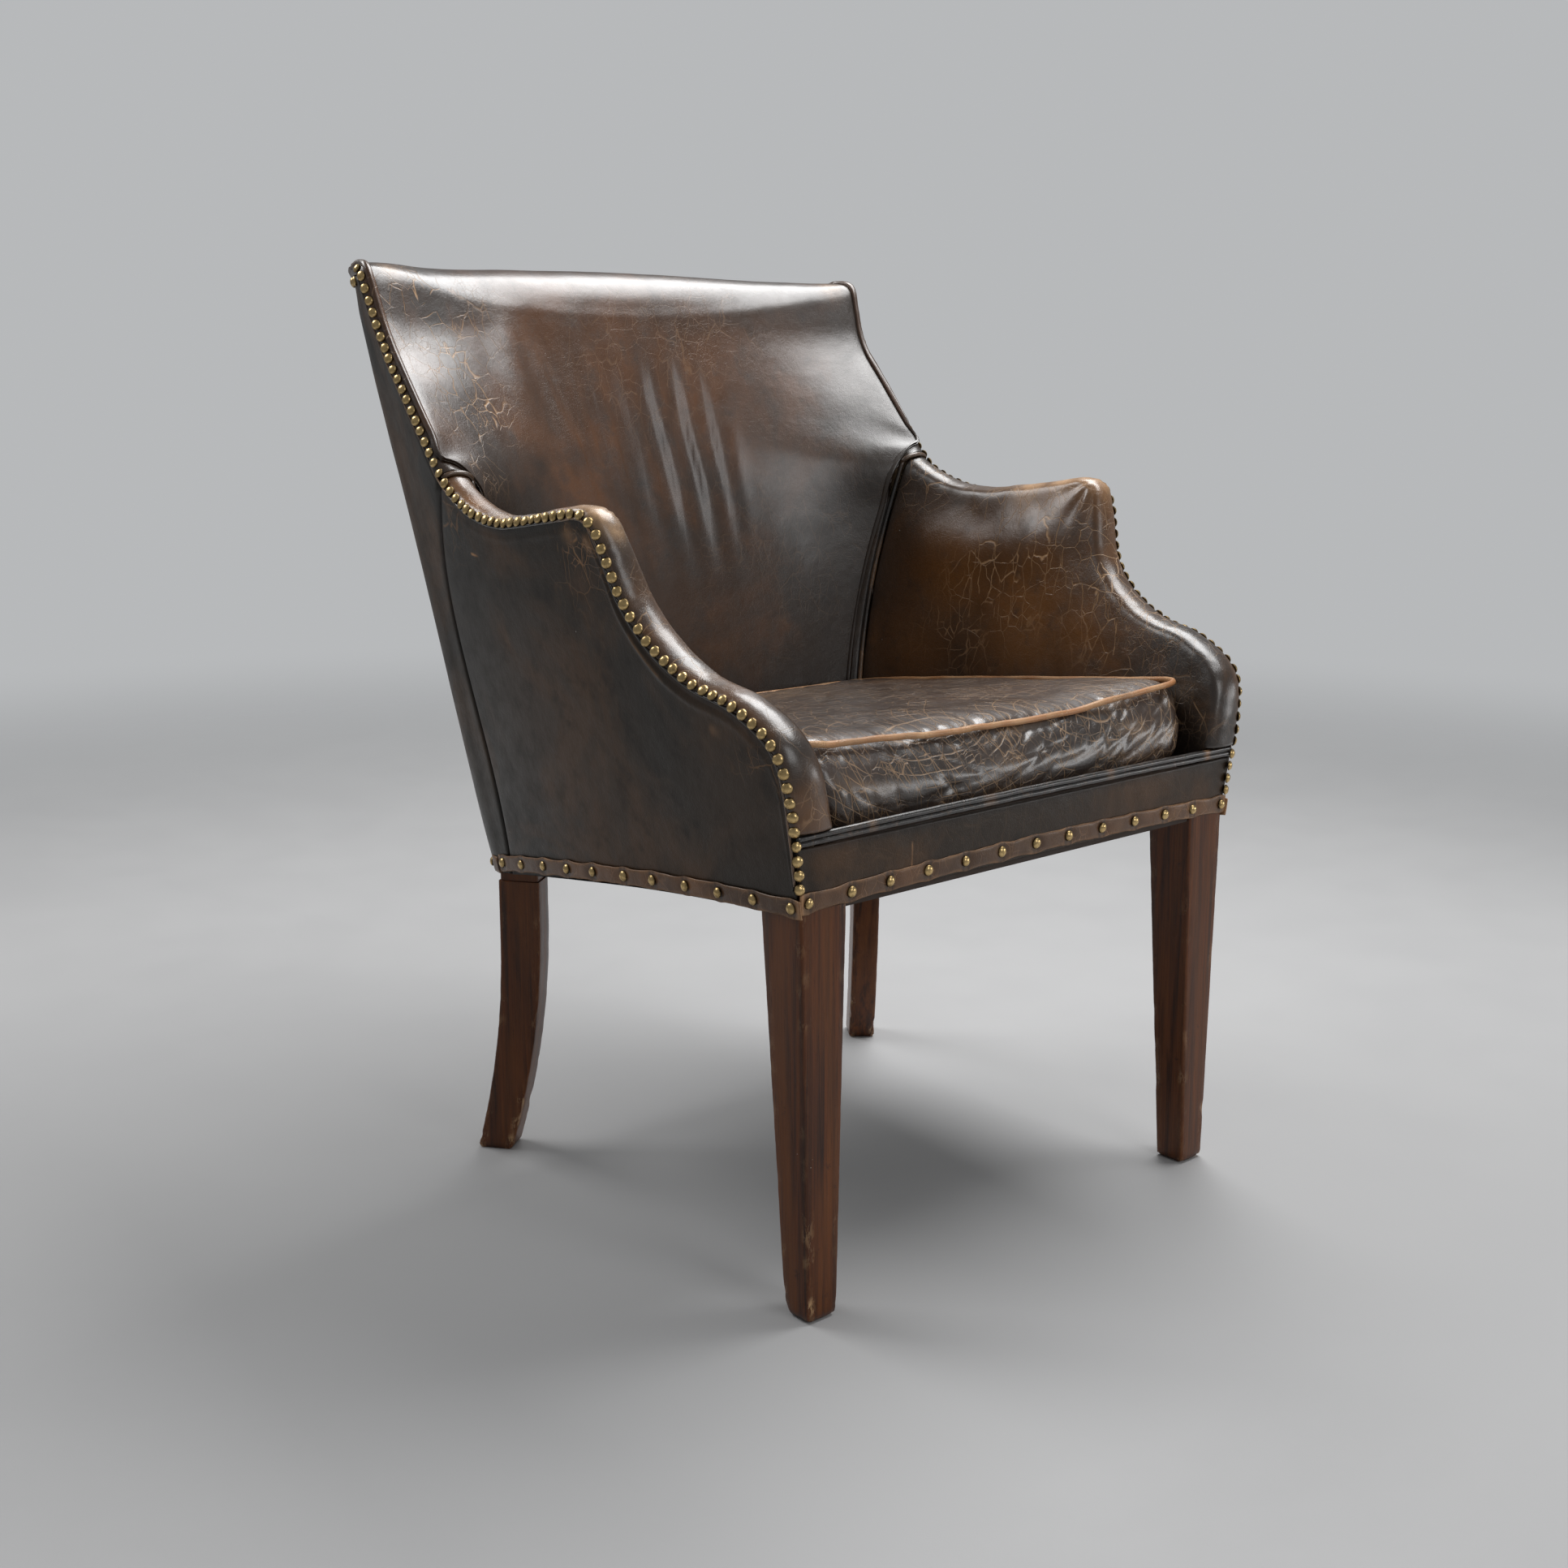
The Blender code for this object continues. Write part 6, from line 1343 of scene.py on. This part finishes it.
def vertex_array(mesh):
    found = np.empty(len(mesh.vertices) * 3, np.float32)
    mesh.vertices.foreach_get("co", found)
    return found.reshape(-1, 3).astype(float)


def apply_modifiers(made):
    graph = bpy.context.evaluated_depsgraph_get()
    mesh = bpy.data.meshes.new_from_object(made.evaluated_get(graph), depsgraph=graph)
    made.modifiers.clear()
    made.data = mesh


def cushion_creases(points):
    """Height of the creases in the cushion's leather, and how deep each point lies in one."""
    x, y, z = points.T
    top = cushion_top(x, y)
    below = np.clip((top - z) / (top - deck(y)), 0.0, 1.0)
    front = smooth((0.060 - y) / 0.035) * smooth((below - 0.03) / 0.06)
    # Drapes that hang from the two upper corners and meet low in the middle
    height = np.zeros(len(points))
    for cx, cz, pitch, shift in ((-0.10, 0.640, 0.021, 0.0), (0.135, 0.595, 0.026, 0.4), (0.02, 0.70, 0.017, 0.2)):
        away = np.hypot(x - cx, z - cz) + 0.006 * ripple(points, 0.05, cx * 30)
        wave = 1 - np.abs(np.sin(math.pi * (away / pitch + shift)))
        height -= 0.0016 * wave**3 * smooth(0.5 + 1.6 * ripple(points, 0.055, 3.0 + cx * 10)) * front
    ladder = np.exp(-(((below - 0.16) / 0.12) ** 2)) * smooth((0.05 - y) / 0.02)
    height += 0.0010 * ladder * ripple(points, np.array([0.0065, 0.05, 0.022]), 8.0)
    height += 0.0007 * front * ripple(points, np.array([0.040, 0.05, 0.016]), 15.0)
    onto = smooth((0.10 - below) / 0.08)
    fringe = onto * np.exp(-(np.maximum(y - 0.02, 0) / 0.030) ** 2)
    height += 0.0010 * fringe * ripple(points, np.array([0.0075, 0.045, 0.05]), 21.0)
    fan = np.arctan2(y - 0.55, x - 0.20)
    rays = 1 - np.abs(np.sin(fan * 17.0 + 1.5 * ripple(points, 0.09, 2.0)))
    height -= 0.0014 * onto * rays**4 * smooth(0.45 + 1.5 * ripple(points, 0.08, 6.0))
    height += onto * (0.0022 * ripple(points, 0.10, 4.0) + 0.0009 * ripple(points, 0.035, 14.0))
    return height, below, front, onto


def make_cushion(materials):
    mesh = simulate_cushion()
    points = vertex_array(mesh) - (0.0, SHIFT, 0.0)
    normals = np.empty(len(points) * 3, np.float32)
    mesh.vertex_normals.foreach_get("vector", normals)
    normals = normals.reshape(-1, 3)
    height, below, front, onto = cushion_creases(points)
    points = points + normals * height[:, None]
    half = side_x(points[:, 1], points[:, 2]) - wall(points[:, 2]) - 0.0006
    points[:, 0] = np.clip(points[:, 0], -half, half)
    points[:, 2] = np.maximum(points[:, 2], deck(points[:, 1]) + 0.0006)
    points[:, 1] = np.maximum(points[:, 1], 0.0010)
    placed = (points + (0.0, SHIFT, 0.0)).astype(np.float32)
    mesh.vertices.foreach_set("co", placed.ravel())
    mesh.materials.clear()
    crack = 0.95 * front + 0.55 * onto * np.exp(-(np.maximum(points[:, 1] - 0.02, 0) / 0.12) ** 2) + 0.50 * onto
    wear_and_highlight = 0.9 * spots(points, ((-0.015, 0.385, 0.450, 0.055, 0.9), (0.060, 0.390, 0.450, 0.04, 0.45), (0.02, 0.30, 0.46, 0.04, 0.2)))
    wear_and_highlight *= 0.85 + 0.9 * ripple(points, 0.011, 3.0)
    wear_and_highlight = np.maximum(wear_and_highlight, 0.22 * front * smooth(ripple(points, np.array([0.05, 0.05, 0.012]), 44.0) * 1.8))
    warm = 0.35 * onto + spots(points, ((0.19, 0.01, 0.45, 0.05, 0.5), (-0.02, 0.005, 0.43, 0.06, 0.4)))
    # Painted shade round the foot of the cushion, where it sits on the deck.
    grime_and_shade = 0.8 * smooth((below - 0.86) / 0.1)
    fields = {"crack": np.clip(crack, 0, 1), "wear_and_highlight": np.clip(wear_and_highlight, 0, 1), "warm": np.clip(warm, 0, 1), "grime_and_shade": grime_and_shade}
    made = piece("seat_cushion_leather", mesh, materials["seat"], ["seat_cushion"], fields)
    tree = BVHTree.FromPolygons(placed.tolist(), [tuple(p.vertices) for p in mesh.polygons])
    outline = cushion_outline(0.022, 0.0034, 0.9, 2)
    path = np.column_stack([outline, cushion_top(*outline.T) - 0.0015])
    path = evenly(np.concatenate([path, path[:1]]), 0.003)[:-1]
    found = np.array([tree.find_nearest(Vector(p + (0.0, SHIFT, 0.0)))[0] for p in path]) - (0.0, SHIFT, 0.0)
    settled = np.where(np.linalg.norm(found - path, axis=1, keepdims=True) < 0.008, blend(path, found, 0.7), path)
    for _ in range(24):
        settled = (np.roll(settled, 1, axis=0) + 2 * settled + np.roll(settled, -1, axis=0)) / 4
    settled[:, 2] += 0.0005 + 0.0005 * ripple(settled, 0.03, 5.0)
    half = side_x(settled[:, 1], settled[:, 2]) - wall(settled[:, 2]) - PIPING_RADIUS - 0.0004
    settled[:, 0] = np.clip(settled[:, 0], -half, half)
    radius = PIPING_RADIUS * (1.0 + 0.07 * ripple(settled, 0.009, 6.0))
    points, faces = tube_shape(settled, radius, 12, closed=True, guide=(0.0, 0.0, 1.0))
    rub = np.repeat(0.35 + 0.5 * ripple(settled, 0.02, 12.0), 12)
    dirt = np.repeat(np.clip(0.15 + 1.1 * ripple(settled, 0.035, 17.0) - 0.25, 0, 1), 12)
    under = np.tile(np.clip(-np.sin(np.linspace(0, 2 * math.pi, 12, endpoint=False)), 0, 1), len(settled))
    fields = {"wear_and_highlight": np.clip(rub, 0, 1), "grime_and_shade": np.clip(0.6 * dirt, 0, 1), "crack": np.full(len(points), 0.5)}
    piece("cushion_welt", solid_mesh("cushion_welt", points, faces), materials["piping"], ["cushion_piping"], fields)
    return under


# Legs


def rounded_square(count_side=5, corner=5):
    """Directions round a square with round corners, and where on it the corners are."""
    turns = []
    for quarter in range(4):
        for k in range(corner):
            turns.append((quarter, "corner", k / (corner - 1)))
        for k in range(1, count_side):
            turns.append((quarter, "side", k / count_side))
    return turns


def leg_rings(heights, frame_at, radius=0.0026):
    """Rings of a four-sided leg. frame_at(z) gives its centre, two half sides and two directions."""
    turns = rounded_square()
    rings, edges = [], []
    corners = ((1, 1), (-1, 1), (-1, -1), (1, -1))
    for z in heights:
        centre, half_a, half_b, way_a, way_b = frame_at(z)
        ring, edge = [], []
        for quarter, kind, share in turns:
            sa, sb = corners[quarter]
            if kind == "corner":
                angle = math.radians(45 + 90 * quarter) + math.radians(90) * (share - 0.5)
                a = sa * (half_a - radius) + radius * math.cos(angle)
                b = sb * (half_b - radius) + radius * math.sin(angle)
                edge.append(1.0)
            else:
                na, nb = corners[(quarter + 1) % 4]
                start = np.array([sa * (half_a - radius * (0 if quarter in (1, 3) else 1)), sb * (half_b - radius * (1 if quarter in (1, 3) else 0))])
                end = np.array([na * (half_a - radius * (0 if quarter in (1, 3) else 1)), nb * (half_b - radius * (1 if quarter in (1, 3) else 0))])
                a, b = blend(start, end, share)
                edge.append(0.0)
            point = np.array([*(centre + way_a * a + way_b * b), z])
            ring.append(point)
        rings.append(ring)
        edges.append(edge)
    return np.array(rings), np.array(edges)


def front_leg_frame(side):
    def frame_at(z):
        # The leg tapers on its inner faces and kicks in a little at the outer ones; this reads only the share of the
        # height and the box of the leg's node.
        share = min(z / (RAIL_HEIGHT - 0.004), 1.0)
        low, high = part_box("front_leg_left" if side > 0 else "front_leg_right")
        return share, low, high
    return frame_at


def leg_sections(name):
    """Corners of a leg's section at each of its heights, read from the frame's node."""
    co = vertex_array(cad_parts[name].data) - (0.0, SHIFT, 0.0)
    levels = {}
    for p in co:
        levels.setdefault(round(float(p[2]), 4), []).append(p[:2])
    found = []
    for z in sorted(levels):
        ring = np.array(levels[z])
        if len(np.unique(np.round(ring, 5), axis=0)) >= 8:
            found.append((z, np.unique(np.round(ring, 5), axis=0)))
    return found


def make_leg(name, axis_angle, top, stub, hidden, materials, seed):
    """The leg as the frame has it, with rounded edges, chips at its foot and rubbed arrises."""
    sections = leg_sections(name)
    way_a = np.array([math.cos(axis_angle), math.sin(axis_angle)])
    way_b = np.array([-way_a[1], way_a[0]])
    levels, centres, halves = [], [], []
    for z, ring in sections:
        a, b = ring @ way_a, ring @ way_b
        levels.append(z)
        centres.append(way_a * (a.min() + a.max()) / 2 + way_b * (b.min() + b.max()) / 2)
        halves.append(((a.max() - a.min()) / 2, (b.max() - b.min()) / 2))
    levels, centres, halves = np.array(levels), np.array(centres), np.array(halves)

    def frame_at(z):
        inside_leather = z > top
        z = min(z, top)
        spot = np.array([np.interp(z, levels, centres[:, k]) for k in (0, 1)])
        half_a, half_b = (float(np.interp(z, levels, halves[:, k])) for k in (0, 1))
        trim = 0.0018 * max(0.0, 1 - z / 0.0035) + (hidden if inside_leather else 0.0)
        return spot, half_a - trim, half_b - trim, way_a, way_b

    heights = np.concatenate([[0.0, 0.0012, 0.0035], np.linspace(0.007, top, 90), [top + 0.0003, top + stub]])
    rings, edges = leg_rings(heights, frame_at)
    centre = rings.mean(axis=1, keepdims=True)
    inward = centre - rings
    inward /= np.linalg.norm(inward, axis=2, keepdims=True)
    bite = np.maximum(ripple(rings, np.array([0.010, 0.010, 0.016]), seed) - 0.12, 0)
    foot = np.exp(-(np.maximum(rings[..., 2] - 0.004, 0) / 0.035))
    chip = edges * bite * (0.0005 + 0.0060 * foot)
    rings = rings + inward * chip[..., None] + inward * (0.00012 * ripple(rings, 0.012, seed + 2))[..., None]
    rings[0, :, 2] = 0.0
    points, faces = loft_shape(rings)
    rub = edges * np.clip(0.12 + 2.4 * bite, 0, 1) * (0.22 + 0.78 * foot)
    rub = np.maximum(rub, np.clip(chip / 0.0012, 0, 1))
    rub = np.maximum(rub, 0.8 * np.exp(-(rings[..., 2] / 0.004) ** 2) * edges)
    # Darker on the faces in the lowest few millimetres of the leg.
    grime_and_shade = 0.7 * np.exp(-(rings[..., 2] / 0.006) ** 2) * (1 - edges)
    fields = {"wear_and_highlight": rub.ravel(), "grime_and_shade": grime_and_shade.ravel()}
    mesh = solid_mesh(name + "_wood", points, faces)
    piece(name + "_wood", mesh, materials["wood"], [name], fields, sharp=50)


def make_legs(materials):
    for side, word in ((1, "left"), (-1, "right")):
        make_leg("front_leg_" + word, 0.0, 0.3515, 0.0078, 0.0, materials, 301.0 + side)
        angle = math.radians(90 - 37) if side > 0 else math.radians(90 + 37)
        make_leg("back_leg_" + word, angle, 0.2845, 0.0150, 0.0016, materials, 311.0 + side)


# Stage


def area_light(name, place, target, width, height, radiance, colour=(1.0, 1.0, 1.0)):
    lamp = bpy.data.lights.new(name, "AREA")
    lamp.shape = "RECTANGLE"
    lamp.size, lamp.size_y = width, height
    lamp.energy = radiance * width * height * math.pi
    lamp.color = colour
    made = bpy.data.objects.new(name, lamp)
    bpy.context.scene.collection.objects.link(made)
    made.location = place
    made.rotation_euler = (Vector(target) - Vector(place)).to_track_quat("-Z", "Y").to_euler()


def make_stage():
    scene = bpy.context.scene
    scene.view_settings.view_transform = "Standard"
    world = scene.world or bpy.data.worlds.new("world")
    scene.world = world
    world.use_nodes = True
    background = world.node_tree.nodes["Background"]
    background.inputs["Color"].default_value = (0.50, 0.51, 0.52, 1.0)
    # The backdrop is pale to look at, and lights the chair less than it shows
    seen = world.node_tree.nodes.new("ShaderNodeLightPath")
    strength = world.node_tree.nodes.new("ShaderNodeMapRange")
    strength.inputs["To Min"].default_value = 0.42
    strength.inputs["To Max"].default_value = 0.95
    world.node_tree.links.new(seen.outputs["Is Camera Ray"], strength.inputs["Value"])
    world.node_tree.links.new(strength.outputs[0], background.inputs["Strength"])
    count, rings = 96, (0.0, 1.0, 2.0, 3.0, 3.7)
    work = bmesh.new()
    middle = work.verts.new((0.0, 0.0, 0.0))
    previous = None
    for radius in rings[1:]:
        ring = [work.verts.new((radius * math.cos(a), radius * math.sin(a), 0.0)) for a in np.linspace(0, 2 * math.pi, count, endpoint=False)]
        for j in range(count):
            k = (j + 1) % count
            if previous:
                work.faces.new((previous[j], ring[j], ring[k], previous[k]))
            else:
                work.faces.new((middle, ring[j], ring[k]))
        previous = ring
    mesh = bpy.data.meshes.new("floor")
    work.to_mesh(mesh)
    work.free()
    mesh.materials.append(floor_material())
    floor = bpy.data.objects.new("floor", mesh)
    scene.collection.objects.link(floor)
    area_light("top_light", (0.95, 0.05, 2.30), (0.15, 0.15, 0.6), 2.0, 0.9, 8.8)
    area_light("front_light", (0.0, -2.7, 1.75), (0.0, 0.0, 0.6), 0.9, 1.3, 3.3)
    area_light("right_light", (2.0, -1.85, 0.62), (0.0, -0.2, 0.42), 1.1, 0.5, 4.4)
    area_light("rear_light", (-0.85, 1.50, 2.05), (0.2, 0.0, 0.6), 1.3, 0.9, 6.2)


def main():
    camera()
    make_stage()
    materials = make_materials()
    dress_frame(materials)
    back = make_back(materials)
    arms = {side: make_arm(side, materials) for side in (1, -1)}
    for side in (1, -1):
        make_outside_arm(side, materials)
        make_lip(side, materials)
        make_welt(side, materials)
        make_nails(side, back, arms, materials)
    make_outside_back(materials)
    make_rear_nails(materials)
    make_bands(materials)
    make_dust_cloth(materials)
    make_front(materials)
    make_cushion(materials)
    make_legs(materials)


main()
